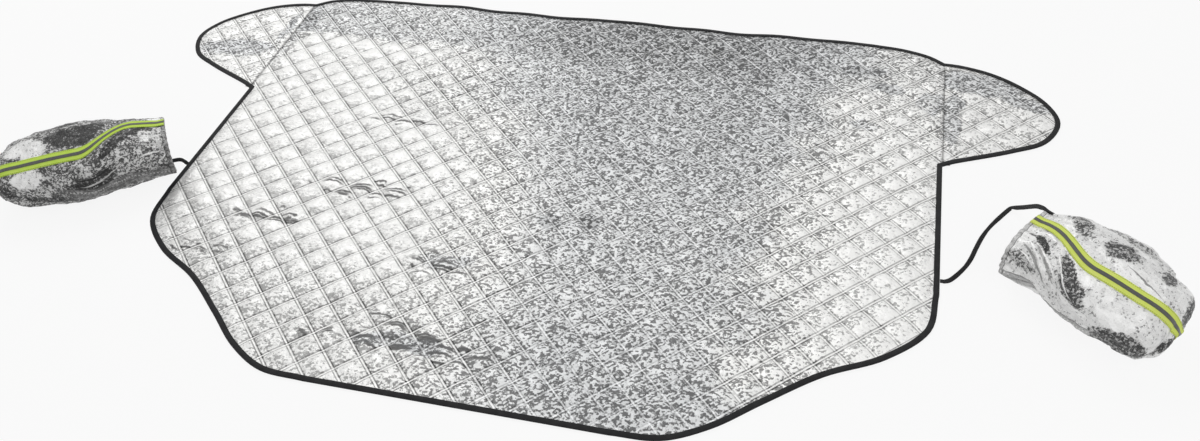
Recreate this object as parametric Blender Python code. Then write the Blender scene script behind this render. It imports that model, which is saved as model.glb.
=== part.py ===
"""Windshield frost cover, spread out on a floor.

A quilted foil sheet lies flat with its roof edge towards +Y. Two door flaps are lapped and sewn
under its far corners, one tape binds the whole outline, and two padded mirror covers lie beside
it on elastic straps. All sizes are metres, and the floor is z = 0.
"""

import math

import bmesh
import bpy
from mathutils import Matrix, Vector

# Main sheet: half width at the seams, roof edge, wiper edge, and the two door flap roots
HALF_WIDTH = 0.7275
ROOF_EDGE = 0.5490
WIPER_EDGE = 0.5575
FLAP_ROOT = 0.163
FLAP_TOP = 0.503
FLAP_REACH = 0.2205
ROOF_RIPPLE = 0.0025
ROOF_RIPPLES = 7

# Quilting: squares on their corners, the stitched lines and the crowns between them
CELL = 0.0462
STITCH_HEIGHT = 0.0032
CROWN_HEIGHT = 0.0085
CALM_EDGE = 0.040
CELL_PHASE_PANEL = (0.0165, 0.0)
CELL_PHASE_FLAP = (0.009, 0.021)

# Binding tape round the outline, and the pinched edge that sits in it
TAPE_WALL = 0.0008
TAPE_REACH = 0.0100
EDGE_WALL = 0.0015
FIT = 0.0003

# Lapped seam between the sheet and each door flap
LAP = 0.0090
LAP_WALL = 0.0008
LAP_END = 0.026

# Mirror covers: length, girth, and the padded foil wall
LEFT_LENGTH = 0.330
RIGHT_LENGTH = 0.270
LEFT_FILL = 0.90
RIGHT_FILL = 1.00
COVER_HALF_WIDTH = 0.101
COVER_RISE = 0.077
COVER_SINK = 0.059
MOUTH_HALF_WIDTH = 0.070
MOUTH_RISE = 0.055
MOUTH_SINK = 0.050
CAP_LENGTH = 0.062
END_TAPER = 0.16
COVER_WALL = 0.0010
SEAM_GAP = 0.0003
# Taped ridge: angle above the front side at the mouth, angle at the closed end, then where along
# the cover it starts to turn and how long the turn is, as shares of the length
LEFT_RIDGE = (math.radians(104), math.radians(56), 0.12, 0.30)
RIGHT_RIDGE = (math.radians(95), math.radians(65), 0.00, 0.45)
RIDGE_PINCH = 0.045
END_PINCH = 0.20
GATHER = 0.0022
GATHER_LENGTH = 0.075
SQUARENESS = 2.5

# Rows of the cover's net on each side of the ridge: under the tape, and from there to the spine
NEAR_ROWS = 3
FAR_ROWS = 5

# Mouth hem and the elastic ring in it
HEM_LENGTH = 0.0140
LIP_WALL = 0.0010
ELASTIC_WALL = 0.0012
ELASTIC_WIDTH = 0.0107

# High visibility tape and its reflective strip
HI_VIS_WIDTH = 0.0250
HI_VIS_WALL = 0.0006
STRIP_WIDTH = 0.0070
STRIP_WALL = 0.0004

# Straps
STRAP_WIDTH = 0.0080
STRAP_WALL = 0.0010

# Where the mirror covers lie: middle of the mouth on the floor, and the way the closed end points
LEFT_MOUTH = (-HALF_WIDTH - 0.0175, -0.103)
LEFT_HEADING = math.radians(209.0)
RIGHT_MOUTH = (HALF_WIDTH + 0.1265, -0.080)
RIGHT_HEADING = math.radians(-36.0)

# Strap routes: distance out from the sheet's side edge, y, height of the middle, and how far the
# ribbon leans over, in degrees
RIGHT_STRAP = [
    (0.0004, -0.1390, 0.0008, 0),
    (0.0040, -0.1390, 0.0008, 0),
    (0.0080, -0.1390, 0.0010, 5),
    (0.0165, -0.1345, 0.0020, 18),
    (0.0275, -0.1205, 0.0032, 40),
    (0.0395, -0.1010, 0.0037, 52),
    (0.0500, -0.0770, 0.0024, 25),
    (0.0585, -0.0500, 0.0014, 8),
    (0.0675, -0.0230, 0.0027, 30),
    (0.0775, 0.0000, 0.0040, 60),
    (0.0885, 0.0200, 0.0039, 55),
    (0.1005, 0.0390, 0.0026, 28),
    (0.1115, 0.0560, 0.0015, 10),
    (0.1210, 0.0665, 0.0034, 0),
    (0.1285, 0.0560, 0.0150, 0),
    (0.1345, 0.0340, 0.0370, 0),
    (0.1395, 0.0090, 0.0620, 0),
    (0.1435, -0.0140, 0.0840, 0),
    (0.1471, -0.0330, 0.0980, -8),
    (0.1503, -0.0424, 0.1026, -20),
    (0.1555, -0.0462, 0.1028, -22),
    (0.1623, -0.0512, 0.1028, -22),
]
LEFT_STRAP = [
    (0.0004, -0.0965, 0.0012, 0),
    (0.0030, -0.0965, 0.0024, 0),
    (0.0065, -0.0965, 0.0060, 0),
    (0.0115, -0.0995, 0.0118, 0),
    (0.0195, -0.1045, 0.0134, 0),
    (0.0295, -0.1110, 0.0132, 0),
    (0.0385, -0.1190, 0.0117, 0),
    (0.0545, -0.1360, 0.0095, 0),
    (0.0745, -0.1540, 0.0080, 0),
    (0.0965, -0.1680, 0.0069, 0),
    (0.1195, -0.1770, 0.0051, 0),
    (0.1405, -0.1790, 0.0043, 0),
    (0.1525, -0.1690, 0.0043, 0),
    (0.1515, -0.1540, 0.0047, 0),
    (0.1385, -0.1420, 0.0056, 0),
    (0.1175, -0.1310, 0.0074, 0),
    (0.0955, -0.1190, 0.0088, 0),
    (0.0735, -0.1070, 0.0110, 0),
    (0.0575, -0.0975, 0.0136, 0),
    (0.0445, -0.0895, 0.0156, 3),
    (0.0355, -0.0845, 0.0150, 2),
]

# Colours, linear
FOIL = (0.60, 0.61, 0.62)
COVER_FOIL = (0.56, 0.56, 0.57)
BLACK_TAPE = (0.012, 0.012, 0.013)
HI_VIS = (0.55, 0.86, 0.08)
REFLECTIVE = (0.075, 0.082, 0.078)
BLACK_ELASTIC = (0.010, 0.010, 0.011)

EDGE_LOW = TAPE_WALL + FIT
EDGE_HIGH = EDGE_LOW + EDGE_WALL
SPINE_ROW = NEAR_ROWS + FAR_ROWS
TAPE_HEIGHT = EDGE_HIGH + FIT + TAPE_WALL
EDGE_INSET = TAPE_WALL + FIT
BODY_INSET = TAPE_REACH + FIT
HEM_DEPTH = 2 * COVER_WALL + ELASTIC_WALL + 2 * FIT


def clear_scene():
    """Remove every object that the scene holds."""
    for thing in list(bpy.data.objects):
        bpy.data.objects.remove(thing, do_unlink=True)


def new_collection(name):
    """Make a collection under the scene's own."""
    collection = bpy.data.collections.new(name)
    bpy.context.scene.collection.children.link(collection)
    return collection


def principled(name, colour, roughness, metallic):
    """Make a Principled material."""
    material = bpy.data.materials.new(name)
    material.use_nodes = True
    shader = material.node_tree.nodes["Principled BSDF"]
    shader.inputs["Base Color"].default_value = (*colour, 1.0)
    shader.inputs["Roughness"].default_value = roughness
    shader.inputs["Metallic"].default_value = metallic
    return material


def object_from(name, bm, collection, material, smooth=True):
    """Turn a bmesh into an object with outward faces."""
    bmesh.ops.recalc_face_normals(bm, faces=bm.faces)
    mesh = bpy.data.meshes.new(name)
    bm.to_mesh(mesh)
    bm.free()
    thing = bpy.data.objects.new(name, mesh)
    collection.objects.link(thing)
    if material:
        mesh.materials.append(material)
    if smooth:
        mesh.shade_smooth()
    return thing


def hide_cutter(cutter):
    """Keep a cutter out of the render."""
    cutter.hide_render = True
    cutter.display_type = "WIRE"


def combine(target, other, operation):
    """Apply an exact Boolean of a cutter to a piece."""
    change = target.modifiers.new(other.name, "BOOLEAN")
    change.solver = "EXACT"
    change.operation = operation
    change.object = other
    depsgraph = bpy.context.evaluated_depsgraph_get()
    mesh = bpy.data.meshes.new_from_object(target.evaluated_get(depsgraph))
    target.modifiers.clear()
    target.data = mesh


def smooth_line(knots, step):
    """Points along a centripetal Catmull-Rom line through the knots, both ends included."""
    first = knots[0] + (knots[0] - knots[1])
    last = knots[-1] + (knots[-1] - knots[-2])
    line = [first] + list(knots) + [last]
    points = []
    for a, b, c, d in zip(line, line[1:], line[2:], line[3:]):
        ta = 0.0
        tb = ta + math.sqrt((b - a).length)
        tc = tb + math.sqrt((c - b).length)
        td = tc + math.sqrt((d - c).length)
        count = max(1, round((c - b).length / step))
        for i in range(count):
            t = tb + (tc - tb) * i / count
            ab = a + (b - a) * ((t - ta) / (tb - ta))
            bc = b + (c - b) * ((t - tb) / (tc - tb))
            cd = c + (d - c) * ((t - tc) / (td - tc))
            abc = ab + (bc - ab) * ((t - ta) / (tc - ta))
            bcd = bc + (cd - bc) * ((t - tb) / (td - tb))
            points.append(abc + (bcd - abc) * ((t - tb) / (tc - tb)))
    points.append(knots[-1])
    return points


def lower_side():
    """Right half of the outline from the middle of the wiper edge up to the flap's root."""
    w = HALF_WIDTH
    low = -WIPER_EDGE
    corner = [
        Vector((w - 0.475, low)),
        Vector((w - 0.395, low + 0.006)),
        Vector((w - 0.325, low + 0.043)),
        Vector((w - 0.255, low + 0.104)),
        Vector((w - 0.170, low + 0.175)),
        Vector((w - 0.078, low + 0.229)),
        Vector((w - 0.012, low + 0.301)),
        Vector((w, low + 0.385)),
    ]
    straight = [Vector((0.0, low)), Vector(((w - 0.475) / 2, low))]
    side = smooth_line([Vector((w, low + 0.385)), Vector((w, FLAP_ROOT))], 0.18)
    return straight + smooth_line(corner, 0.030)[:-1] + side


def flap_side():
    """Right door flap's free edge from its root to the top of its seam."""
    w = HALF_WIDTH
    reach = FLAP_REACH
    span = FLAP_TOP - FLAP_ROOT
    knots = [
        Vector((w, FLAP_ROOT)),
        Vector((w + reach * 0.08, FLAP_ROOT + span * 0.032)),
        Vector((w + reach * 0.58, FLAP_ROOT + span * 0.188)),
        Vector((w + reach * 0.865, FLAP_ROOT + span * 0.306)),
        Vector((w + reach, FLAP_ROOT + span * 0.507)),
        Vector((w + reach * 0.905, FLAP_ROOT + span * 0.685)),
        Vector((w + reach * 0.69, FLAP_ROOT + span * 0.825)),
        Vector((w + reach * 0.42, FLAP_ROOT + span * 0.933)),
        Vector((w + reach * 0.13, FLAP_ROOT + span * 0.992)),
        Vector((w, FLAP_TOP)),
    ]
    return smooth_line(knots, 0.030)


def roof_side():
    """Right half of the roof edge, from the seam's top round the corner to the middle."""
    corner = [
        Vector((HALF_WIDTH, FLAP_TOP)),
        Vector((HALF_WIDTH - 0.030, FLAP_TOP + 0.022)),
        Vector((HALF_WIDTH - 0.085, ROOF_EDGE - 0.006)),
        Vector((HALF_WIDTH - 0.150, ROOF_EDGE)),
    ]
    start = HALF_WIDTH - 0.150
    count = 3 * ROOF_RIPPLES
    edge = []
    for i in range(1, count + 1):
        share = i / count
        lift = ROOF_RIPPLE * math.sin(math.pi * ROOF_RIPPLES * share) * math.sin(math.pi * share)
        edge.append(Vector((start * (1 - share), ROOF_EDGE + lift)))
    return smooth_line(corner, 0.024) + edge


def whole_outline():
    """Closed outline of the cover, seen from above and running anticlockwise."""
    right = lower_side() + flap_side()[1:] + roof_side()[1:]
    left = [Vector((-p.x, p.y)) for p in reversed(right[1:-1])]
    return right + left


def inset(points, distance):
    """Move a closed anticlockwise outline inwards."""
    moved = []
    count = len(points)
    for i, point in enumerate(points):
        before = (point - points[i - 1]).normalized()
        after = (points[(i + 1) % count] - point).normalized()
        tangent = (before + after).normalized()
        stretch = max(0.5, tangent.dot(before))
        moved.append(point + Vector((-tangent.y, tangent.x)) * (distance / stretch))
    return moved


def clip(points, normal, limit):
    """Keep the side of a closed outline where point . normal is at most limit."""
    kept = []
    count = len(points)
    for i, point in enumerate(points):
        following = points[(i + 1) % count]
        here = point.dot(normal) - limit
        there = following.dot(normal) - limit
        if here <= 0:
            kept.append(point)
        if here * there < 0:
            kept.append(point.lerp(following, here / (here - there)))
    return kept


def prism(name, points, low, high, collection):
    """Closed prism over an outline."""
    bm = bmesh.new()
    floor = bm.faces.new([bm.verts.new((p.x, p.y, low)) for p in points])
    grown = bmesh.ops.extrude_face_region(bm, geom=[floor])
    risen = [v for v in grown["geom"] if isinstance(v, bmesh.types.BMVert)]
    bmesh.ops.translate(bm, verts=risen, vec=(0, 0, high - low))
    return object_from(name, bm, collection, None, smooth=False)


def distance_inside(point, points):
    """Distance from a point to the nearest stretch of an outline."""
    best = 1.0
    for i, end in enumerate(points):
        start = points[i - 1]
        along = end - start
        share = max(0.0, min(1.0, (point - start).dot(along) / along.length_squared))
        best = min(best, (start + along * share - point).length)
    return best


def quilted_block(name, points, phase, collection):
    """Block of pillows that covers an outline, calmer towards the outline itself."""
    low_x, high_x = min(p.x for p in points), max(p.x for p in points)
    low_y, high_y = min(p.y for p in points), max(p.y for p in points)
    reach = (high_x - low_x + high_y - low_y) / math.sqrt(8) + 2 * CELL
    cells = math.ceil(2 * reach / CELL)
    bm = bmesh.new()
    bmesh.ops.create_grid(bm, x_segments=cells, y_segments=cells, size=cells * CELL / 2)
    bmesh.ops.rotate(bm, verts=bm.verts, cent=(0, 0, 0), matrix=Matrix.Rotation(math.radians(45), 3, "Z"))
    middle = Vector(((low_x + high_x) / 2 + phase[0], (low_y + high_y) / 2 + phase[1], 0))
    bmesh.ops.translate(bm, verts=bm.verts, vec=middle)
    stray = []
    for face in bm.faces:
        centre = face.calc_center_median().to_2d()
        outside = not is_inside(centre, points)
        if outside and distance_inside(centre, points) > CELL:
            stray.append(face)
    bmesh.ops.delete(bm, geom=stray, context="FACES")
    corners = set(bm.verts)
    bmesh.ops.poke(bm, faces=bm.faces)
    for vert in bm.verts:
        place = vert.co.to_2d()
        calm = 0.0
        if is_inside(place, points):
            calm = min(1.0, distance_inside(place, points) / CALM_EDGE)
        full = STITCH_HEIGHT if vert in corners else CROWN_HEIGHT
        vert.co.z = STITCH_HEIGHT + (full - STITCH_HEIGHT) * (0.25 + 0.75 * calm)
    grown = bmesh.ops.extrude_face_region(bm, geom=bm.faces[:])
    for item in grown["geom"]:
        if isinstance(item, bmesh.types.BMVert):
            item.co.z = -CELL / 4
    return object_from(name, bm, collection, None)


def is_inside(point, points):
    """True where a point lies inside a closed outline."""
    inside = False
    for i, end in enumerate(points):
        start = points[i - 1]
        if (start.y > point.y) != (end.y > point.y):
            cross = start.x + (point.y - start.y) / (end.y - start.y) * (end.x - start.x)
            if point.x < cross:
                inside = not inside
    return inside


def quilted_piece(name, body, edge, phase, collection, cutters, material):
    """Quilted sheet with a pinched edge: pillows over the body, a thin tongue out to the edge."""
    piece = quilted_block(name, body, phase, collection)
    body_prism = prism(name + "_body", body, 0.0, CROWN_HEIGHT + 0.01, cutters)
    edge_prism = prism(name + "_edge", edge, EDGE_LOW, EDGE_HIGH, cutters)
    combine(piece, body_prism, "INTERSECT")
    combine(piece, edge_prism, "UNION")
    hide_cutter(body_prism)
    hide_cutter(edge_prism)
    piece.data.materials.clear()
    piece.data.materials.append(material)
    piece.data.shade_smooth()
    return piece


def panel(outline, collection, cutters, material):
    """The main sheet, between the two lapped seams."""
    edge = inset(outline, EDGE_INSET)
    body = inset(outline, BODY_INSET)
    for side in (Vector((1, 0)), Vector((-1, 0))):
        edge = clip(edge, side, HALF_WIDTH - FIT / 2)
        body = clip(body, side, HALF_WIDTH - BODY_INSET)
    return quilted_piece("quilted_panel", body, edge, CELL_PHASE_PANEL, collection, cutters, material)


def door_flap(name, sign, outline, collection, cutters, material):
    """One door flap, with the seam allowance that lies under the main sheet."""
    side = Vector((-sign, 0))
    below = Vector((0, -1))
    edge = clip(inset(outline, EDGE_INSET), side, -HALF_WIDTH - FIT / 2)
    edge = clip(edge, below, 0.0)
    body = clip(inset(outline, BODY_INSET), side, -HALF_WIDTH - BODY_INSET)
    body = clip(body, below, 0.0)
    phase = (sign * CELL_PHASE_FLAP[0], CELL_PHASE_FLAP[1])
    flap = quilted_piece(name, body, edge, phase, collection, cutters, material)
    hold = BODY_INSET + 0.003
    section = [
        (-LAP, 0.0),
        (hold, 0.0),
        (hold, EDGE_LOW + 0.0002),
        (FIT / 2, EDGE_LOW + 0.0002),
        (FIT / 2, LAP_WALL),
        (-LAP, LAP_WALL),
    ]
    low = FLAP_ROOT + LAP_END
    high = FLAP_TOP - LAP_END
    bm = bmesh.new()
    corners = [bm.verts.new((sign * (HALF_WIDTH + x), low, z)) for x, z in section]
    grown = bmesh.ops.extrude_face_region(bm, geom=[bm.faces.new(corners)])
    moved = [v for v in grown["geom"] if isinstance(v, bmesh.types.BMVert)]
    bmesh.ops.translate(bm, verts=moved, vec=(0, high - low, 0))
    allowance = object_from(name + "_allowance", bm, cutters, None, smooth=False)
    combine(flap, allowance, "UNION")
    hide_cutter(allowance)
    flap.data.materials.clear()
    flap.data.materials.append(material)
    return flap


def edge_binding(outline, collection, material):
    """One folded tape round the whole outline, open towards the sheet."""
    top = TAPE_HEIGHT
    section = [
        (0.0, 0.0),
        (TAPE_REACH, 0.0),
        (TAPE_REACH, TAPE_WALL),
        (TAPE_WALL, TAPE_WALL),
        (TAPE_WALL, top - TAPE_WALL),
        (TAPE_REACH, top - TAPE_WALL),
        (TAPE_REACH, top),
        (0.0, top),
    ]
    bm = bmesh.new()
    rings = []
    for depth, height in section:
        line = inset(outline, depth)
        rings.append([bm.verts.new((p.x, p.y, height)) for p in line])
    count = len(outline)
    for i, ring in enumerate(rings):
        following = rings[(i + 1) % len(rings)]
        for j in range(count):
            k = (j + 1) % count
            bm.faces.new((ring[j], ring[k], following[k], following[j]))
    return object_from("edge_binding", bm, collection, material)


class CoverSkin:
    """Outer skin of a mirror cover as one triangle net, mouth open, which its layers are cut from.

    A station is a place along the length. The net runs from the mouth along the ridge, round the
    closed end and back along the hidden seam, and its rows lead away from that seam on both sides.
    """

    def __init__(self, mouth, heading, hand, length, fill_share, ridge):
        self.mouth = mouth
        self.ridge = ridge
        self.length = length
        self.fill_share = fill_share
        self.along = Vector((math.cos(heading), math.sin(heading), 0))
        self.front = Vector((-math.sin(heading), math.cos(heading), 0)) * -hand
        body = length - CAP_LENGTH
        rest = body - HEM_LENGTH
        self.stations = [0.0, LIP_WALL, LIP_WALL + FIT, LIP_WALL + FIT + ELASTIC_WIDTH, HEM_LENGTH]
        self.stations += [HEM_LENGTH + rest * share for share in (0.08, 0.18, 0.30, 0.44, 0.62, 0.81)]
        self.stations.append(body)
        self.cap_turns = [math.pi * i / 10 for i in range(1, 10)]
        self.columns = self.column_list()
        self.place = {}
        self.faces = []
        self.fill()
        self.normal = self.vertex_normals()

    def column_list(self):
        """(station number, turn about the closed end) for each column of the net."""
        count = len(self.stations)
        out = [(i, 0.0) for i in range(count)]
        cap = [(count - 1, turn) for turn in self.cap_turns]
        back = [(i, math.pi) for i in reversed(range(count))]
        return out + cap + back

    def girth(self, x):
        """Half width, rise and sink of the cover at a distance from its mouth."""
        share = max(0.0, min(1.0, (x - HEM_LENGTH) / (0.60 * self.length)))
        swell = math.sin(math.pi / 2 * share)
        late = max(0.0, x / self.length - 0.45) / 0.35
        size = self.fill_share * (1 - END_TAPER * min(1.0, late) ** 2)
        width = MOUTH_HALF_WIDTH + (COVER_HALF_WIDTH - MOUTH_HALF_WIDTH) * swell
        rise = MOUTH_RISE + (COVER_RISE - MOUTH_RISE) * swell
        sink = MOUTH_SINK + (COVER_SINK - MOUTH_SINK) * swell
        return width * size, rise * size, sink * size

    def ridge_angle(self, x):
        """Angle of the taped ridge above the cover's front side, at a distance from its mouth."""
        at_mouth, at_end, start, span = self.ridge
        share = (x - HEM_LENGTH - start * self.length) / (span * self.length)
        turned = (1 - math.cos(math.pi * max(0.0, min(1.0, share)))) / 2
        return at_mouth + (at_end - at_mouth) * turned

    def point(self, column, lean):
        """Place on the skin, for a column and an angle away from the seam."""
        station, turn = self.columns[column]
        x = self.stations[station]
        ridge = self.ridge_angle(x)
        first = Vector((0, math.cos(ridge), math.sin(ridge)))
        second = Vector((0, -math.sin(ridge), math.cos(ridge)))
        outward = first * math.cos(turn) + Vector((1, 0, 0)) * math.sin(turn)
        way = outward * math.cos(lean) + second * math.sin(lean)
        width, rise, sink = self.girth(x)
        power = SQUARENESS
        square = (abs(way.x) ** power + abs(way.y) ** power + abs(way.z) ** power) ** (-1 / power)
        pinch = RIDGE_PINCH * max(0.0, math.cos(turn)) + END_PINCH * math.sin(turn) ** 2
        square *= 1 - pinch * math.exp(-((lean / 0.42) ** 2))
        local = Vector((x + CAP_LENGTH * way.x * square, width * way.y * square, 0))
        local.z = COVER_SINK + (rise if way.z > 0 else sink) * way.z * square
        return local

    def gathered(self, local, row):
        """Draw the mouth in with small pleats, clear of the tape, that die out along the cover."""
        fade = math.exp(-max(0.0, local.x - HEM_LENGTH) / GATHER_LENGTH)
        inward = GATHER * fade if abs(row) > 3 and row % 2 == 0 else 0.0
        centre = Vector((local.x, 0, COVER_SINK))
        return centre + (local - centre) * (1 - inward / max(0.02, (local - centre).length))

    def leans(self, column):
        """Angles of the rows on one side of the seam, set by the widths of gap, strip and tape."""
        tiny = 0.01
        per_angle = (self.point(column, tiny) - self.point(column, 0.0)).length / tiny
        near = [width / 2 / per_angle for width in (SEAM_GAP, STRIP_WIDTH, HI_VIS_WIDTH)]
        far = [near[-1] + (math.pi / 2 - near[-1]) * i / FAR_ROWS for i in range(1, FAR_ROWS + 1)]
        return near + far

    def key(self, column, row):
        """Name of a net point; points on the two spines are shared."""
        if abs(row) == SPINE_ROW:
            return (self.columns[column][0], "spine", row)
        return (column, row)

    def to_world(self, local):
        """Lay a point of the cover down beside the sheet."""
        flat = self.along * local.x + self.front * local.y
        return Vector((self.mouth[0] + flat.x, self.mouth[1] + flat.y, local.z))

    def fill(self):
        """Work out the net's points and triangles."""
        rows = [row for row in range(-SPINE_ROW, SPINE_ROW + 1) if row]
        for column in range(len(self.columns)):
            leans = self.leans(column)
            for row in rows:
                lean = math.copysign(leans[abs(row) - 1], row)
                local = self.gathered(self.point(column, lean), row)
                self.place[self.key(column, row)] = self.to_world(local)
        lowest = min(p.z for p in self.place.values())
        for p in self.place.values():
            p.z -= lowest
        for column in range(len(self.columns) - 1):
            for a, b in zip(rows, rows[1:]):
                ring = [self.key(column + side, row) for side, row in ((0, a), (1, a), (1, b), (0, b))]
                self.add_quad(ring, column, (a, b))

    def add_quad(self, ring, column, rows):
        """Split a cell of the net into triangles, leaving out flat ones."""
        for corners in ((ring[0], ring[1], ring[2]), (ring[0], ring[2], ring[3])):
            if len(set(corners)) == 3:
                self.faces.append((corners, column, rows))

    def vertex_normals(self):
        """Outward normal of each net point."""
        total = {name: Vector((0, 0, 0)) for name in self.place}
        middle = sum(self.place.values(), Vector((0, 0, 0))) / len(self.place)
        outward = 0.0
        for corners, _, _ in self.faces:
            a, b, c = (self.place[name] for name in corners)
            area = (b - a).cross(c - a)
            outward += area.dot((a + b + c) / 3 - middle)
            for name in corners:
                total[name] += area
        sign = 1.0 if outward > 0 else -1.0
        return {name: value.normalized() * sign for name, value in total.items()}

    def zone(self, column):
        """First station of a cell, whichever way its column runs."""
        a, _ = self.columns[column]
        b, _ = self.columns[column + 1]
        return min(a, b) if a != b else a


class Layers:
    """Vertices of a solid made from skin points pushed out or in by set amounts."""

    def __init__(self, skin):
        self.skin = skin
        self.bm = bmesh.new()
        self.made = {}

    def vert(self, name, height):
        """Vertex over a skin point at a height above the skin."""
        if (name, height) not in self.made:
            place = self.skin.place[name] + self.skin.normal[name] * height
            self.made[(name, height)] = self.bm.verts.new(place)
        return self.made[(name, height)]

    def face(self, corners):
        """Face over (point, height) pairs."""
        self.bm.faces.new([self.vert(name, height) for name, height in corners])


def rim_edges(faces):
    """Edges that only one of the faces has, with that face."""
    seen = {}
    for face in faces:
        corners = face[0]
        for i, name in enumerate(corners):
            following = corners[(i + 1) % len(corners)]
            seen.setdefault(frozenset((name, following)), []).append(((name, following), face))
    return [owners[0] for owners in seen.values() if len(owners) == 1]


def band(name, skin, faces, low, high, collection, material):
    """Closed solid between two heights over some faces of the skin."""
    layers = Layers(skin)
    for corners, _, _ in faces:
        layers.face([(c, high) for c in corners])
        layers.face([(c, low) for c in corners])
    for (a, b), _ in rim_edges(faces):
        layers.face([(a, low), (b, low), (b, high), (a, high)])
    return object_from(name, layers.bm, collection, material)


def cover_half(name, skin, side, collection, material):
    """Half of a mirror cover: padded wall with a hem turned in at the mouth for the elastic."""
    faces = [f for f in skin.faces if min(f[2]) * side > 0 and max(f[2]) * side > 0]
    hem_in = -HEM_DEPTH
    hem_out = -(HEM_DEPTH - COVER_WALL)
    wall = -COVER_WALL
    hem_stations = 4
    layers = Layers(skin)
    stations = {}
    for corners, column, _ in faces:
        zone = skin.zone(column)
        layers.face([(c, 0.0) for c in corners])
        if zone > 0:
            layers.face([(c, wall) for c in corners])
        if zone < hem_stations:
            layers.face([(c, hem_in) for c in corners])
        if 0 < zone < hem_stations:
            layers.face([(c, hem_out) for c in corners])
        for c in corners:
            stations[c] = skin.columns[c[0]][0] if c[1] != "spine" else c[0]
    for (a, b), (_, column, _) in rim_edges(faces):
        zone = skin.zone(column)
        if stations[a] == 0 and stations[b] == 0:
            layers.face([(a, 0.0), (b, 0.0), (b, hem_in), (a, hem_in)])
        elif zone == 0:
            if stations[a] > stations[b]:
                a, b = b, a
            layers.face([(a, 0.0), (b, 0.0), (b, wall), (b, hem_out), (b, hem_in), (a, hem_in)])
        else:
            layers.face([(a, 0.0), (b, 0.0), (b, wall), (a, wall)])
            if zone < hem_stations:
                layers.face([(a, hem_out), (b, hem_out), (b, hem_in), (a, hem_in)])
    done = set()
    for corners, _, _ in faces:
        for i, a in enumerate(corners):
            b = corners[(i + 1) % 3]
            if stations[a] != stations[b] or frozenset((a, b)) in done:
                continue
            done.add(frozenset((a, b)))
            if stations[a] == 1:
                layers.face([(a, wall), (b, wall), (b, hem_out), (a, hem_out)])
            if stations[a] == hem_stations:
                layers.face([(a, hem_out), (b, hem_out), (b, hem_in), (a, hem_in)])
    return object_from(name, layers.bm, collection, material)


def mirror_cover(word, skin, collection, materials):
    """Everything that makes up one mirror cover."""
    foil, hi_vis, reflective, elastic = materials
    cover_half(word + "_cover_back_half", skin, 1, collection, foil)
    cover_half(word + "_cover_front_half", skin, -1, collection, foil)
    last = len(skin.stations) + len(skin.cap_turns) - 2
    ridge = [f for f in skin.faces if f[1] < last]
    tape = [f for f in ridge if max(abs(r) for r in f[2]) <= 3]
    strip = [f for f in ridge if max(abs(r) for r in f[2]) <= 2]
    low = FIT
    high = low + HI_VIS_WALL
    band(word + "_cover_hi_vis_tape", skin, tape, low, high, collection, hi_vis)
    base = high + FIT
    band(word + "_cover_reflective_strip", skin, strip, base, base + STRIP_WALL, collection, reflective)
    ring = [f for f in skin.faces if skin.zone(f[1]) == 2]
    outer = -(COVER_WALL + FIT)
    band(word + "_cover_mouth_elastic", skin, ring, outer - ELASTIC_WALL, outer, collection, elastic)


def strap(name, sign, route, collection, material):
    """Flat ribbon along a route, leaning over by the angle that each of its points gives."""
    knots = [Vector((sign * (HALF_WIDTH + out), y, z)) for out, y, z, _ in route]
    line = []
    leans = []
    for i in range(len(knots) - 1):
        line.append(knots[i])
        leans.append(route[i][3])
        before = knots[max(0, i - 1)]
        after = knots[min(len(knots) - 1, i + 2)]
        line.append((knots[i] + knots[i + 1]) * 0.5625 - (before + after) * 0.0625)
        leans.append((route[i][3] + route[i + 1][3]) / 2)
    line.append(knots[-1])
    leans.append(route[-1][3])
    bm = bmesh.new()
    rings = []
    for i, place in enumerate(line):
        ahead = line[min(i + 1, len(line) - 1)] - line[max(i - 1, 0)]
        ahead.normalize()
        side = ahead.cross(Vector((0, 0, 1))).normalized()
        turn = Matrix.Rotation(math.radians(leans[i]), 3, ahead)
        across = turn @ side * (STRAP_WIDTH / 2)
        up = turn @ side.cross(ahead) * (STRAP_WALL / 2)
        corners = [place + across + up, place - across + up, place - across - up, place + across - up]
        rings.append([bm.verts.new(corner) for corner in corners])
    for a, b in zip(rings, rings[1:]):
        for i in range(4):
            bm.faces.new((a[i], a[(i + 1) % 4], b[(i + 1) % 4], b[i]))
    bm.faces.new(rings[0])
    bm.faces.new(rings[-1])
    return object_from(name, bm, collection, material)


def build():
    """Build the whole cover."""
    clear_scene()
    collection = new_collection("windshield_frost_cover")
    cutters = new_collection("cutters")
    foil = principled("quilted_foil", FOIL, 0.32, 1.0)
    cover_foil = principled("cover_foil", COVER_FOIL, 0.30, 1.0)
    black = principled("black_binding", BLACK_TAPE, 0.55, 0.0)
    hi_vis = principled("hi_vis_yellow", HI_VIS, 0.60, 0.0)
    reflective = principled("reflective_grey", REFLECTIVE, 0.40, 0.2)
    elastic = principled("black_elastic", BLACK_ELASTIC, 0.80, 0.0)
    outline = whole_outline()
    panel(outline, collection, cutters, foil)
    door_flap("door_flap_right", 1, outline, collection, cutters, foil)
    door_flap("door_flap_left", -1, outline, collection, cutters, foil)
    edge_binding(outline, collection, black)
    cover_materials = (cover_foil, hi_vis, reflective, elastic)
    left = CoverSkin(LEFT_MOUTH, LEFT_HEADING, -1, LEFT_LENGTH, LEFT_FILL, LEFT_RIDGE)
    right = CoverSkin(RIGHT_MOUTH, RIGHT_HEADING, 1, RIGHT_LENGTH, RIGHT_FILL, RIGHT_RIDGE)
    mirror_cover("left", left, collection, cover_materials)
    mirror_cover("right", right, collection, cover_materials)
    strap("left_strap", -1, LEFT_STRAP, collection, elastic)
    strap("right_strap", 1, RIGHT_STRAP, collection, elastic)


build()
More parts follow.
